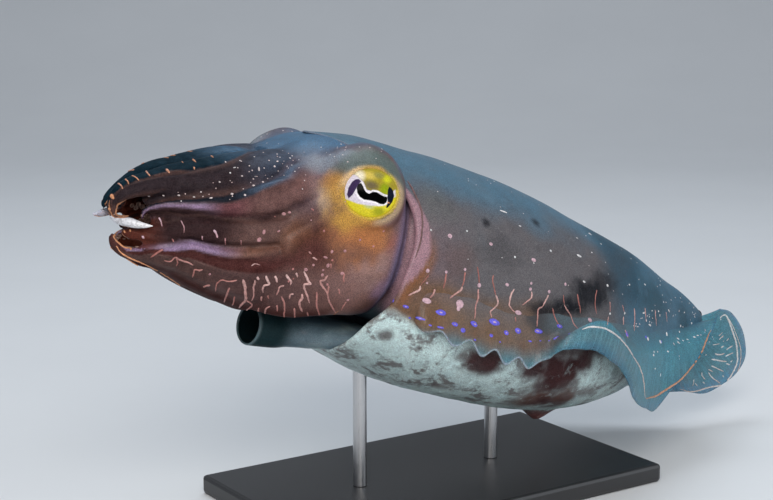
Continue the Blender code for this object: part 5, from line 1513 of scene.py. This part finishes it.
class BuildHead(bpy.types.Operator):
    """Fuses head, eye bulges and the eight arms into one skin"""
    bl_idname = "cuttlefish.head"
    bl_label = "Head and arms"

    def execute(self, context):
        points, faces = raw_head()
        obj = new_piece("head_skin", mesh_of("head_skin", to_world(points), faces))
        PIECES[obj.name] = obj
        fuse = obj.modifiers.new("fuse", "REMESH")
        fuse.mode = "VOXEL"
        fuse.voxel_size = sizes().skin_voxel
        fuse.adaptivity = 0.0
        soft = obj.modifiers.new("soften", "SMOOTH")
        soft.factor = 0.5
        soft.iterations = 5
        evaluated(obj)
        mesh = obj.data
        face_outwards(mesh)
        points = to_body(read(mesh, "co"))
        normal = body_normals(mesh)
        edges = np.empty(len(mesh.edges) * 2, np.int32)
        mesh.edges.foreach_get("vertices", edges)
        x, y, z = points.T
        far = np.abs(y)
        crease = ease(-88, -76, x) * fall(-60, -50, x) * ease(14, 26, far) * ease(-8, 4, z)
        low = ease(-66, -56, x) * fall(-34, -30, x) * fall(8, 14, z) * ease(-24, -14, z) * ease(26, 34, far)
        points = set_lids(relax(points, edges.reshape(-1, 2), np.maximum(crease, low) * 0.9, 70))
        points = points + normal * relief_head(points, round_angle(points)[0])[:, None]
        set_places(mesh, points)
        tint, phi = paint_head(points, body_normals(mesh), Skin(obj.name))
        set_tint(mesh, tint)
        wide, _, high = section(OUTLINE, points[:, 0])
        arc = np.where(points[:, 1] < 0, -1.0, 1.0) * np.radians(phi) * ((wide + high) / 2)
        set_skin_map(mesh, points[:, 0], arc, 26.0)
        nodes = ["arm_%d_%s_%s" % (n, s, e) for n in (1, 2, 3, 4) for _, s in SIDES for e in ("base", "tip")]
        finish_piece(obj, flesh_material("head skin", 0.50, 0.10, 0.55), ["head"] + nodes)
        return {"FINISHED"}


def eye_marks(s, v):
    """Colours and flap height of the eye's front at places across it, in millimetres towards the tail and up."""
    def turned(cx, cy):
        """A place traced on an enlargement of the eye, as millimetres across it."""
        dx = (cx - EYE_TRACE[0]) / EYE_TRACE[2]
        dy = (EYE_TRACE[1] - cy) / EYE_TRACE[2]
        return 0.965 * dx - 0.209 * dy, 0.209 * dx + 0.965 * dy

    def shape(corners):
        """Signed distance in millimetres to an outline, below 0 inside it."""
        spots = np.array([turned(*c) for c in pairs(corners)])
        best = np.full(s.shape, 99.0)
        inside = np.zeros(s.shape, bool)
        for (ax, ay), (bx, by) in zip(spots, np.roll(spots, -1, 0)):
            dx, dy = bx - ax, by - ay
            t = np.clip(((s - ax) * dx + (v - ay) * dy) / (dx * dx + dy * dy), 0, 1)
            best = np.minimum(best, np.hypot(s - ax - t * dx, v - ay - t * dy))
            inside ^= ((ay > v) != (by > v)) & (s < ax + (v - ay) * dx / (dy if dy else 1e-9))
        return np.where(inside, -best, best)

    def level(row, heights=None):
        """How high places lie over a traced line, whose turned heights may come from a line of their own."""
        return v - np.interp(s, [turned(*p)[0] for p in pairs(row)], [turned(*p)[1] for p in pairs(heights or row)])

    def spot(cx, cy, rx, ry, soft=0.2):
        return blot(s, v, turned(cx, cy), (rx, ry), soft)

    pupil, left, right = shape(PUPIL), shape(CRESCENT_FRONT), shape(CRESCENT_BACK)
    flap = ease(-0.12, 0.12, level(*FLAP_LINE))
    lemon = ease(0.35, -0.35, level(LEMON_LINE))
    yellow = Coat(len(s), (0.76, 0.66, 0.035))
    yellow.lay(spot(800, 900, 3.6, 2.6) * 0.9, (0.34, 0.36, 0.02))
    yellow.lay(spot(620, 800, 3.0, 1.5) * 0.8, (0.46, 0.55, 0.28))
    over = Coat(len(s), (0.36, 0.29, 0.03))
    # The flap's colour patches, one of them a painted shadow near its edge.
    for cx, cy, rx, ry, shade, strength in FLAP_PATCHES:
        over.lay(spot(cx, cy, rx, ry, 0.25) * strength, shade)
    coat = Coat(len(s), (0.74, 0.68, 0.76))
    coat.lay(lemon, yellow.tint)
    coat.lay(ease(9.8, 11.2, np.hypot(s / 1.08, v)) * (s > 2) * (1 - flap * 0.4), (0.62, 0.50, 0.02))
    coat.lay(flap, over.tint)
    coat.lay(ease(1.45, 1.10, pupil) * (1 - lemon * 0.85), (0.92, 0.88, 0.90))
    coat.lay(ease(0.30, -0.05, left), (0.050, 0.030, 0.085))
    coat.lay(ease(0.18, -0.12, right), (0.006, 0.009, 0.020))
    # Painted highlight: a small orange glint on the back crescent.
    coat.lay(spot(970, 742, 0.9, 0.35) * 0.9, (0.85, 0.35, 0.14))
    coat.lay(ease(0.46, 0.32, pupil), (0.001, 0.001, 0.001))
    return coat.tint, flap * fall(0.2, -0.3, right)


class BuildEyes(bpy.types.Operator):
    """Makes both eyes with the wavy pupil, iris, crescents and the skin flap over them"""
    bl_idname = "cuttlefish.eyes"
    bl_label = "Eyes"

    def execute(self, context):
        look = eye_material()
        spin = circle(260)

        def ring(r):
            return r * EYE_RADII[0] * np.cos(spin), r * (EYE_RADII[1] + 0.2) * np.sin(spin)

        for side, label in SIDES:
            centre, out, back, up = eye_frame(side)
            rows = [np.stack((*ring(r), eye_height(*ring(r))), -1) for r in np.linspace(0.004, 0.985, 118)]
            for turn in np.linspace(0.12, np.pi / 2, 16):
                rows.append(stacked(*ring(math.cos(turn) * 0.985), 2.2 - 14.5 * math.sin(turn)))
            local, faces = skin_over(rows)
            tint, flap = eye_marks(local[:, 0], local[:, 1])
            seen = (local[:, 2] > 0) & (np.hypot(local[:, 0], local[:, 1]) < 15)
            local[:, 2] += flap * seen * sizes().flap_stand * 1000
            points = centre + local[:, :1] * back + local[:, 1:2] * up + local[:, 2:] * out
            mesh = mesh_of("eye_%s_ball" % label, to_world(points), faces)
            face_outwards(mesh)
            set_tint(mesh, tint)
            set_mask(mesh, flap, "flap")
            finish_piece(new_piece(mesh.name, mesh), look, ["eye_" + label])
        return {"FINISHED"}


def eye_material():
    """A wet eye: clear gloss over the iris, softer where the skin flap covers it."""
    made, t, shader, place = new_material("eye")
    tint = t.stored("tint", "Color")
    grain = t.noise(place, 1.6, 5.0, Roughness=0.7)
    look = t.mix(t.steps(grain, 0.35, 0.65), t.shaded(tint, 0.72, 0.70, 0.72), tint)
    t.fill(shader, Base_Color=look, Roughness=t.times(t.stored("flap"), 0.25, 0.12), Normal=t.bump(0.25, 0.0001, grain),
           Specular_IOR_Level=0.02, Coat_Weight=0.025, Coat_Roughness=0.05)
    return made


class BuildFunnel(bpy.types.Operator):
    """Makes the funnel with its open, rounded mouth"""
    bl_idname = "cuttlefish.funnel"
    bl_label = "Funnel"

    def execute(self, context):
        around = 96
        spin = circle(around)

        def ring(x, scale, at):
            wide, level, high = section(FUNNEL, x)
            return stacked(at, wide * scale * np.cos(spin), level + high * scale * np.sin(spin))

        rows = [ring(x, 1.0, x) for x in np.linspace(-14.5, -68.6, 60)]
        for theta in np.linspace(0.25, np.pi, 10):
            rows.append(ring(-69.4, 1.0 - 0.07 * (1 - math.cos(theta)), -69.0 - 1.5 * math.sin(theta)))
        rows += [ring(x, scale, x) for x, scale in ((-67, 0.83), (-63, 0.78), (-58, 0.72), (-53, 0.66))]
        points, faces = skin_over(rows)
        x = points[:, 0]
        mesh = mesh_of("funnel_skin", to_world(points), faces)
        face_outwards(mesh)
        points = points + body_normals(mesh) * (wobble(points, 0.09, 8.0) * 0.45 * ease(-66, -50, x) - 0.15)[:, None]
        set_places(mesh, points)
        rough = wobble(points, 0.07, 9.0)
        coat = Coat(len(points), "funnel_base")
        coat.lay(ease(-0.1, 0.6, rough) * ease(-50, -30, x) * 0.7, belly=0.7)
        coat.lay(fall(-58, -46, x + rough * 3), funnel=1)
        coat.lay(hill(x, -69.9, 0.9), funnel=2.6, plus=0.04)
        # Painted shade: the inside of the funnel's mouth is darkened to a near-black grey-green.
        coat.tint[np.arange(len(points)) > around * 68] = mixed(funnel=0.35)
        set_tint(mesh, coat.tint)
        look = flesh_material("funnel skin", 0.45, 0.12, 0.35, 0.0002, subsurface=0.25)
        finish_piece(new_piece("funnel_skin", mesh), look, ["funnel"])
        return {"FINISHED"}


def fin_grid(table, side, along, across):
    """Places of a fin from its root on the mantle to its margin, with the ripple in front and the left one's curl."""
    grid = np.empty((along + 1, across + 1, 3))
    run = np.linspace(0, 1, across + 1)
    for i in range(along + 1):
        root_x, margin_x, margin_y, margin_z = row_at(table, (len(table) - 1) * i / along)
        root = mantle_at(root_x, 0.0) - (0, 0.9, 0)
        fade = min(max((root_x + 20.0) / 14.0, 0.0), 1.0) * min(max((RIPPLE_END - root_x) / 12.0, 0.0), 1.0)
        margin_z -= 3.0 * float(fall(-14, 8, root_x))
        margin_z -= fade * RIPPLE_HEIGHT * math.cos(2 * math.pi * (root_x - RIPPLE_PHASE) / RIPPLE_LENGTH)
        margin = np.array((margin_x, abs(margin_y), margin_z))
        curl = max(float(np.interp(root_x, *zip(*CURL))), 0.0) if side < 0 else 0.0
        crest = 1.0 - 0.36 * min(curl / 6.0, 1.0)
        t = np.minimum(run / crest, 1.0)
        u = np.clip((run - crest) / max(1 - crest, 1e-6), 0.0, 1.0) if curl > 0 else run * 0
        x, y, z = (root[:, None] * (1 - t) + margin[:, None] * t)
        level = margin[2] - root[2]
        z -= level * t * (1 - t) * 0.55
        y += abs(level) * t * (1 - t) * 0.30
        z -= curl * (u ** 1.5)
        y += curl * 0.16 * np.sin(np.pi * np.minimum(u, 1.0) * 0.62)
        x -= curl * 0.22 * u
        y -= 3.0 * float(fall(-20, -6, root_x)) * run
        grid[i] = stacked(x, y * side, z)
    return grid


class BuildFins(bpy.types.Operator):
    """Makes the two rippled side fins as thin webs"""
    bl_idname = "cuttlefish.fins"
    bl_label = "Fins"

    def execute(self, context):
        look = fin_material()
        mantle = Skin("mantle_skin")
        along, across = 420, 34
        t = np.linspace(0, 1, across + 1)[None]
        i = np.linspace(0, 1, along + 1)[:, None]
        for side, label in SIDES:
            grid = fin_grid(FIN_LEFT if side < 0 else FIN_RIGHT, side, along, across)
            FIN_GRIDS[side] = grid
            normal = np.cross(np.gradient(grid, axis=0), np.gradient(grid, axis=1)) * side
            normal /= np.linalg.norm(normal, axis=2)[..., None] + 1e-9
            if normal[along // 3, 0, 2] < 0:
                normal = -normal
            width = np.linalg.norm(grid[:, -1:] - grid[:, :1], axis=2)
            thick = (FIN_ROOT * (1 - 0.86 * t ** 0.7)) * ease(0, 0.02, i) * ease(1.0, 0.99, i) + 0.25
            rays = 0.12 * np.sin(i * 900) * ease(0.1, 0.4, t) * fall(0.8, 1.0, t)
            upper = grid + normal * (thick / 2 + rays * 0.5)[..., None]
            lower = grid - normal * (thick / 2)[..., None]
            run_x = np.broadcast_to(grid[:, :1, 0], (along + 1, across + 1))
            for sheet, angle, blend in ((upper, 13.0, 9.0), (lower, -8.0, 6.0)):
                slide = np.clip(t * width / blend, 0, 1)
                wall = mantle_at(run_x, angle * (1 - slide)) * (1, side, 1)
                wall[..., 1] -= side * 1.0
                sheet += (wall - sheet) * (fall(0.0, 1.0, slide) * ease(1.0, 0.96, i))[..., None]
            points = np.concatenate((upper.reshape(-1, 3), lower.reshape(-1, 3)))
            index = np.arange((along + 1) * (across + 1)).reshape(along + 1, across + 1)
            quad = np.stack((index[:-1, :-1], index[:-1, 1:], index[1:, 1:], index[1:, :-1]), -1).reshape(-1, 4)
            rim = np.concatenate((index[:, 0], index[-1, 1:], index[-2::-1, -1], index[0, -2:0:-1])).tolist()
            faces = quad.tolist() + (quad[:, ::-1] + index.size).tolist()
            faces += [(p, q, q + index.size, p + index.size) for p, q in zip(rim, rim[1:] + rim[:1])]
            mesh = mesh_of("fin_%s_web" % label, to_world(points), faces)
            face_outwards(mesh)
            share, run, width = (
                np.concatenate((np.broadcast_to(v, index.shape).ravel(),) * 2) for v in (t, grid[:, :1, 0], width))
            set_tint(mesh, paint_fin(points, side, share, run, width, mantle))
            clear = 0.16 * ease(0.55, 0.95, share) * ease(50, 90, run)
            set_mask(mesh, 1.0 - clear - 0.10 * ease(0.2, 0.7, share) - 0.15 * ease(0.9, 1.0, share), "cover")
            set_skin_map(mesh, run, share * width)
            finish_piece(new_piece(mesh.name, mesh), look, ["fin_" + label])
        return {"FINISHED"}


def paint_fin(points, side, share, run, width, mantle):
    """The colour of each point of a fin: share is 0 at its root and 1 at its margin, run the root's x."""
    rough = wobble(points, 0.06, 12.0)
    reach = share * width
    wall = mantle_at(run, 13.0 * (1 - np.clip(reach / 9.0, 0, 0.9))) * (1, side, 1)
    front = 1 - (ease(60, 112, run) if side < 0 else ease(40, 66, run))
    coat = Coat(len(points), "fin")
    coat.lay(fall(2.0 + 6.0 * front, 9.0 + 11.0 * front, reach + rough * 2), paint_mantle(wall, mantle)[0].tint)
    dim = fall(0.25, 0.6, share + rough * 0.1) * ease(50, 70, run) * fall(110, 150, run)
    coat.lay(dim * (0.7 if side < 0 else 0.0), flank=0.6, fin=0.35)
    light = ease(0.60, 0.95, share) * ease(50, 70, run) * fall(130, 155, run)
    coat.lay(light * (0.8 if side < 0 else 0.0), fin=0.8, plus=0.05)
    coat.lay(ease(0.88, 0.97, share) * ease(45, 80, run) * (1.0 if side > 0 else 0.55), fin_edge=1)
    coat.lay(ease(0.93, 0.985, share) * fall(40, 66, run) * ease(-16, -6, run), fin_edge=0.6, white=0.35)
    return coat.tint


def fin_material():
    """A thin wet web, clearer towards its rim, with faint rays across it."""
    made, t, shader, place = new_material("fin web")
    tint = t.stored("tint", "Color")
    uv = t.add("ShaderNodeUVMap", {"uv_map": "skin"}).outputs[0]
    speckle = t.add("ShaderNodeGroup", {"node_tree": speckle_group()}, Place=place)
    rays = t.noise(t.add("ShaderNodeMapping", None, Vector=uv, Scale=(11.0, 0.7, 1.0)).outputs[0], 1.0, 3.0)
    away = t.steps(t.add("ShaderNodeSeparateXYZ", None, Vector=uv).outputs[1], 0.7, 1.7)
    bright = t.times(t.steps(rays, 0.5, 0.70, 0.35), away)
    t.fill(shader, Base_Color=t.mix(bright, speckled(t, tint, speckle, 0.55), t.shaded(tint, 1.7, 1.6, 1.5)),
           Alpha=t.math("ADD", t.stored("cover"), t.steps(rays, 0.45, 0.7, 0.15), True),
           Roughness=t.times(speckle.outputs["Grain"], 0.2, 0.36),
           Normal=t.bump(0.4, 0.0003, t.times(rays, away, speckle.outputs["Height"])), Coat_Weight=0.12,
           Coat_Roughness=0.15, Specular_IOR_Level=0.3, Subsurface_Weight=0.2, Subsurface_Scale=0.002)
    return made


class BuildSuckers(bpy.types.Operator):
    """Sets two rows of suckers along the inner face of every arm to its tip"""
    bl_idname = "cuttlefish.suckers"
    bl_label = "Suckers"

    def execute(self, context):
        spin = circle(10)
        points, faces = skin_over([stacked(r * np.cos(spin), r * np.sin(spin), h) for r, h in CUP])
        mesh = mesh_of("cup", points, faces)
        face_outwards(mesh)
        mesh.shade_smooth()
        cup = new_piece("cup", mesh)
        skin = Skin("head_skin")
        spots = []
        last = sizes().sucker_count * 2 - 1
        for index in range(4):
            for side in (-1, 1):
                first, centre, frames = arm_frames(index, side, 40)
                inner = first[len(first) * 3 // 4] - centre
                wide = (first[0] - first[len(first) // 2]) / 2
                for k in range(last + 1):
                    share = k / last
                    across = 0.30 if k % 2 else -0.30
                    if index == 1 and side > 0 and share > 0.72:
                        continue
                    if share < 0.5:
                        ring = arm_section(-87 + (ARM_SPLIT + 87) * share * 2, index)
                        face = ring[len(ring) * 3 // 4]
                        at = face + (ring[0] - ring[len(ring) // 2]) / 2 * across
                        facing = face - ring.mean(0)
                        size = 1.0 - 0.35 * share
                    else:
                        place, turn, scale = frames[min(int((share - 0.5) * 2 * 0.92 * 40), 39)]
                        at = place + turn @ (inner * scale + wide * scale * across)
                        facing = turn @ inner
                        size = min(0.82 - 0.55 * (share - 0.5) * 2, float(np.linalg.norm(wide)) * scale * 0.30)
                        size = max(size, 0.16)
                    facing = facing / (np.linalg.norm(facing) + 1e-9) * (1, -side, 1)
                    at = at * (1, -side, 1)
                    hit = skin.drop(at + facing * 5, at - facing * 4)
                    if hit is not None and np.linalg.norm(hit[0] - at) < 4:
                        at = hit[0]
                    spots.append((at, facing, (1, 0, 0), (size, size, size), (k % 5) / 5))
        look = marking_material("sucker", (0.30, 0.17, 0.13), (0.42, 0.27, 0.22))
        values = {"Cup": cup, "Radius": sizes().sucker_radius}
        grow(points_mesh("suckers", spots), cup_tree(), values, look)
        bpy.data.objects.remove(cup)
        return {"FINISHED"}


def smooth_chain(chain):
    """A chain of places in the picture, drawn through its points by a smooth curve with even steps."""
    out = []
    for k in range(len(chain) - 1):
        count = max(2, int(math.dist(chain[k], chain[k + 1]) / CHAIN_STEP) + 1)
        out += [tuple(row_at(chain, k + n / count)) for n in range(count)]
    return out + [tuple(chain[-1])]


def drawn_paths(skin, lines, side, rng, own=True):
    """Paths for lines given as (tone, width, places in the picture): thick at the top, thinner below, a little uneven.
    A path ends where the skin does, and with own set it keeps to its own side."""
    paths = []
    for tone, width, *flat in lines:
        chain = pairs(flat)
        if len(chain) == 2:
            (ax, ay), (bx, by) = chain
            chain.insert(1, ((ax + bx) / 2, (ay + by) / 2))
        points = smooth_chain(chain)
        path = []
        for k, (px, py) in enumerate(points):
            share = k / (len(points) - 1)
            hit = skin.seen(px + rng.uniform(-0.2, 0.2), py, side)
            if hit is None or own and hit[0][1] * side < OWN_SIDE:
                continue
            if path and math.dist(hit[0], path[-1][0]) > LONGEST_GAP:
                if len(path) > 2:
                    paths.append(path)
                path = []
            ends = min(1.0, 0.45 + share * 6, 0.35 + (1 - share) * 6)
            half = width / 2 * (1.12 - 0.38 * share) * rng.uniform(0.82, 1.15) * ends
            path.append((hit[0], half, min(1.0, tone * (1.25 - 0.7 * share))))
        if len(path) > 2 and (side < 0 or min(abs(step[0][1]) for step in path) > 5.0):
            paths.append(path)
    return paths


def rim_path(head, index, side, low, high, spots, width, tone, steps=60):
    """A path along an arm's free end, over two spots of its section."""
    first, centre, frames = arm_frames(index, side, steps)
    path = []
    for k in range(int(steps * low), int(steps * high)):
        place, turn, scale = frames[k]
        at = (place + turn @ ((first[spots[0]] / 2 + first[spots[1]] / 2 - centre) * scale)) * (1, -side, 1)
        share = (k - steps * low) / (steps * (high - low))
        thin = min(1.0, 0.3 + share * 5, 0.35 + (1 - share) * 4) * (0.5 + 0.5 * scale)
        path.append((head.nearest(at)[0], width * thin, tone))
    return path


class BuildLines(bpy.types.Operator):
    """Lays the pink skin lines, the arms' bright rims and the fins' margin lines"""
    bl_idname = "cuttlefish.lines"
    bl_label = "Skin lines"

    def execute(self, context):
        rng = random.Random(sizes().seed)
        head = Skin("head_skin")
        flank = Skin("mantle_skin", "fin_left_web", "fin_right_web")

        def both(*pairs_of):
            """Paths of each pair of skin and table, on the left and then on the right side."""
            found = [[] for _ in pairs_of]
            for side in (-1, 1):
                for kept, (skin, table) in zip(found, pairs_of):
                    kept += drawn_paths(skin, table, side, rng)
            return found

        pink, flank_lines = both((head, WEB_LINES), (flank, FLANK_LINES))
        look = marking_material("pink lines", colour("pink"), colour("pink_light"))
        line_piece("web_lines", pink, 7, look)
        line_piece("flank_lines", flank_lines, 7, look)

        # Bars of the arms and the scoop, with one painted highlight in the scoop.
        bars_and_highlight = drawn_paths(head, SCOOP_BARS_AND_HIGHLIGHT, -1, rng) + both((head, ARM_BARS))[0]
        look = marking_material("orange bars", colour("rim"), colour("blob"))
        line_piece("arm_bars", bars_and_highlight, 6, look)
        marks = both((head, ARM_MARKS))[0]
        look = marking_material("arm marks", colour("pink"), colour("blob"))
        line_piece("arm_marks", marks, 6, look)

        rims = both((head, WEB_RIM))[0] + [rim_path(head, *row) for row in ARM_RIMS]
        look = marking_material("rims", mixed(rim=0.55), mixed(rim=1.25))
        line_piece("arm_rims", rims, 8, look)

        fold = both((Skin("head_skin", "mantle_skin"), COLLAR_FOLD))[0]
        look = marking_material("collar fold", mixed(maroon=1.2), mixed(neck=0.8))
        line_piece("collar_fold", fold, 8, look)

        lines = drawn_paths(Skin("fin_left_web", "fin_right_web"), FIN_LINES, -1, rng, own=False)
        grid = fin_grid(FIN_RIGHT, 1, 420, 50)
        root = grid[:, 0, 0]
        for start, end, share in ((20, 150, 0.90), (150, 200, 0.92)):
            rows = [i for i in range(0, 421, 2) if start <= root[i] <= end]
            ends = [min(1.0, 0.25 + (root[i] - start) / 3, 0.25 + (end - root[i]) / 3) for i in rows]
            lines.append([(grid[i, int(share * 50)], 0.5 * thin, 0.8) for i, thin in zip(rows, ends)])
        look = marking_material("fin lines", mixed(rim=0.8), mixed(white=0.95))
        line_piece("fin_lines", lines, 8, look)

        steps = [row_at(TUSK, (len(TUSK) - 1) * k / 48) for k in range(49)]
        tusk = [(p[:3], max(float(p[3]), 0.12), min(1.0, 0.25 + 0.75 * k / 48)) for k, p in enumerate(steps)]
        look = marking_material("arm point", mixed(pale=0.75), mixed(white=1.15), 0.35)
        line_piece("arm_point", [tusk], 28, look)
        return {"FINISHED"}


def drawn_spots(skin, table, side, tone, thick=0.22):
    """Spots for rows of (picture x, picture y, length, height in millimetres)."""
    hits = ((skin.seen(px, py, side), wide, high) for px, py, wide, high in table)
    return [(*hit, (1, 0, -0.12), (wide / 2, high / 2, thick), tone) for hit, wide, high in hits if hit is not None]


def scattered(rng, count, region, size, stretch=(0.8, 1.3), tone=(0.4, 1.0)):
    """Scattered dots: region() gives a skin place."""
    spots = []
    while len(spots) < count:
        hit = region()
        if hit is None:
            continue
        r = rng.uniform(*size)
        spin = rng.uniform(0, math.pi)
        along = np.cross(hit[1], (math.cos(spin), 0.3, math.sin(spin)))
        spots.append((*hit, along, (r * rng.uniform(*stretch), r, min(0.16, r * 0.6)), rng.uniform(*tone)))
    return spots


class BuildSpots(bpy.types.Operator):
    """Sets the white dots, blue-violet dots with painted highlights, pale blobs and small bumps"""
    bl_idname = "cuttlefish.spots"
    bl_label = "Spots"

    def execute(self, context):
        rng = random.Random(sizes().seed + 5)
        any_of = rng.uniform
        head = Skin("head_skin")
        body = Skin("mantle_skin")
        flank = Skin("mantle_skin", "fin_left_web", "fin_right_web")

        def side():
            return rng.choice((-1, 1))

        def crown():
            x = any_of(-112, -40)
            return head.head(x, max(2.0, rng.gauss(27 + (-x - 60) * 0.40, 13)), side())

        def arms():
            x = any_of(-136, -80)
            return head.head(x, float(curve(BROWN_BAND, x)) + any_of(-20, 5), side())

        def back():
            return body.mantle(any_of(-20, 205), any_of(14, 84), side())

        def rear():
            x = any_of(128, 212)
            return body.mantle(x, any_of(-2, 40) * ease(120, 200, x) + 4, side())

        def cheek():
            return head.head(any_of(-92, -40), any_of(66, 112), side())

        def fins():
            grid = FIN_GRIDS[side()]
            row = grid[int(len(grid) * any_of(0.76, 0.95))]
            return flank.nearest(row[int(any_of(0.15, 0.75) * (len(row) - 1))])

        white = scattered(rng, 110, crown, (0.18, 0.42)) + scattered(rng, 50, arms, (0.18, 0.34), tone=(0.1, 0.7))
        white += scattered(rng, 110, back, (0.16, 0.34)) + scattered(rng, 70, rear, (0.18, 0.36), (1.4, 2.8))
        white += scattered(rng, 50, fins, (0.16, 0.34), (1.0, 2.6), (0.0, 1.0))
        pale = scattered(rng, 46, cheek, (0.3, 0.6), tone=(0.0, 0.7))
        blue = []
        large = [(px, py, wide * 1.2, high * 1.25) for px, py, wide, high in BLUE_SPOTS]
        marks = ((white, SKIN_MARKS, 1.0, 0.6, 0.35), (pale, PALE_BLOBS, 0.9, 0.4, 0.22))
        for way in (-1, 1):
            for spots, table, behind, before, thick in marks:
                spots += drawn_spots(flank, [m for m in table if m[0] > HEAD_END], way, behind)
                spots += drawn_spots(head, [m for m in table if m[0] <= HEAD_END], way, before, thick)
            blue += drawn_spots(flank, large, way, 0.0)
            # Painted highlight: a smaller, taller pale dot in each larger blue-violet dot.
            shine = drawn_spots(flank, [m for m in BLUE_SPOTS if m[2] > 2.6], way, 1.0)
            blue += [(*spot, (a * 0.5, b * 0.45, c * 1.4), tone) for *spot, (a, b, c), tone in shine]
        for name, spots, dark, light in (
            ("white_dots", white, "pink_light", "white"), ("pale_blobs", pale, "pink", "blob"),
            ("blue_dots", blue, "blue", "blob"),
        ):
            look = marking_material(name.replace("_", " "), colour(dark), colour(light))
            spot_piece(name, spots, 10, 6, look)

        knots = [(*body.nearest(place), (1, 0, 0), (wide / 2, high / 2, 1.6), 0.0) for place, wide, high in TAIL_KNOTS]
        look = marking_material("tail knob", colour("patch"), colour("maroon"))
        spot_piece("tail_knob", knots, 14, 10, look)
        return {"FINISHED"}


def stand_material(name, grain, dark, light, roughness, relief, metallic=0.0, **scale):
    """A grained finish between two colours: grain is a noise's scale and detail, relief a strength and a distance."""
    made, t, shader, place = new_material(name, **scale)
    tone = t.noise(place, *grain)
    t.fill(shader, Base_Color=t.mix(tone, rgba(dark), rgba(light)), Roughness=t.times(tone, 0.2, roughness),
           Normal=t.bump(*relief, tone), Metallic=metallic)
    return made


class BuildStand(bpy.types.Operator):
    """Finishes the display stand's base and rods"""
    bl_idname = "cuttlefish.stand"
    bl_label = "Stand"

    def execute(self, context):
        black = stand_material(
            "stand black", (1.8, 3.0), (0.014, 0.014, 0.015), (0.028, 0.028, 0.030), 0.28, (0.15, 0.00008))
        steel = stand_material(
            "stand steel", (1.0, 4.0), (0.48, 0.48, 0.49), (0.62, 0.62, 0.63), 0.2, (0.12, 0.00005), 1.0,
            scale=(4000.0, 4000.0, 90.0))
        for node, look in (("stand_base", black), ("stand_rod_front", steel), ("stand_rod_rear", steel)):
            obj = frame["nodes"][node]
            obj.data.materials.clear()
            obj.data.materials.append(look)
        return {"FINISHED"}


class BuildStage(bpy.types.Operator):
    """Makes the pale floor, the soft studio light and the camera"""
    bl_idname = "cuttlefish.stage"
    bl_label = "Stage"

    def execute(self, context):
        scene = context.scene
        made, t, shader, place = new_material("floor", None)
        look = t.mix(t.noise(place, 9.0, 3.0), rgba((0.66, 0.67, 0.68)), rgba((0.70, 0.71, 0.72)))
        t.fill(shader, Base_Color=look, Roughness=0.75)
        bend = [(1.2 + 1.2 * math.sin(a), 1.2 - 1.2 * math.cos(a)) for a in np.linspace(0.12, math.pi / 2, 14)]
        rows = [(-3.0, 0.0), (1.2, 0.0), *bend, (2.4, 4.0)]
        turn = Matrix.Rotation(math.radians(-34), 3, "Z")
        points = [turn @ Vector((x, y, z)) for y, z in rows for x in (-5.0, 5.0)]
        faces = [(2 * k, 2 * k + 1, 2 * k + 3, 2 * k + 2) for k in range(len(rows) - 1)]
        floor = new_piece("floor", mesh_of("floor", points, faces))
        floor.data.materials.append(made)
        floor.data.shade_smooth()

        scene.world = bpy.data.worlds.new("studio")
        scene.world.use_nodes = True
        sky = scene.world.node_tree.nodes["Background"]
        sky.inputs[0].default_value = (0.80, 0.88, 1.0, 1.0)
        sky.inputs[1].default_value = 0.34
        for name, at, power, size, shade in LIGHTS:
            light = bpy.data.lights.new(name, "AREA")
            light.energy = power
            light.size = size
            light.color = shade
            lamp = new_piece(name, light)
            lamp.location = at
            lamp.rotation_euler = (Vector((-0.02, 0, 0.11)) - Vector(at)).to_track_quat("-Z", "Y").to_euler()

        lens = bpy.data.cameras.new("camera")
        lens.lens, lens.sensor_width = CAMERA[3:]
        camera = new_piece("camera", lens)
        camera.location, _, _, away = camera_axes()
        camera.rotation_euler = (-away).to_track_quat("-Z", "Y").to_euler()
        scene.camera = camera
        scene.view_settings.view_transform = "Standard"
        return {"FINISHED"}


STEPS = (
    BuildStage, BuildMantle, BuildHead, BuildEyes, BuildFunnel, BuildFins, BuildSuckers, BuildLines, BuildSpots,
    BuildStand,
)


class CuttlefishPanel(bpy.types.Panel):
    """Lists the model's steps, sizes and colours"""
    bl_idname = "VIEW3D_PT_cuttlefish"
    bl_label = "Cuttlefish model"
    bl_space_type = "VIEW_3D"
    bl_region_type = "UI"
    bl_category = "Cuttlefish"

    def draw(self, context):
        for step in STEPS:
            self.layout.operator(step.bl_idname)
        for group in (context.scene.cuttlefish_sizes, context.scene.cuttlefish_colours):
            box = self.layout.box()
            for key in group.__class__.__annotations__:
                box.prop(group, key)


CLASSES = (CuttlefishSizes, CuttlefishColours, *STEPS, CuttlefishPanel)


def register():
    for item in CLASSES:
        bpy.utils.register_class(item)
    bpy.types.Scene.cuttlefish_sizes = bpy.props.PointerProperty(type=CuttlefishSizes)
    bpy.types.Scene.cuttlefish_colours = bpy.props.PointerProperty(type=CuttlefishColours)


def unregister():
    del bpy.types.Scene.cuttlefish_colours
    del bpy.types.Scene.cuttlefish_sizes
    for item in reversed(CLASSES):
        bpy.utils.unregister_class(item)


def main():
    """Runs every step in order."""
    register()
    for step in STEPS:
        getattr(bpy.ops.cuttlefish, step.bl_idname.split(".")[1])()


if __name__ == "__main__":
    main()
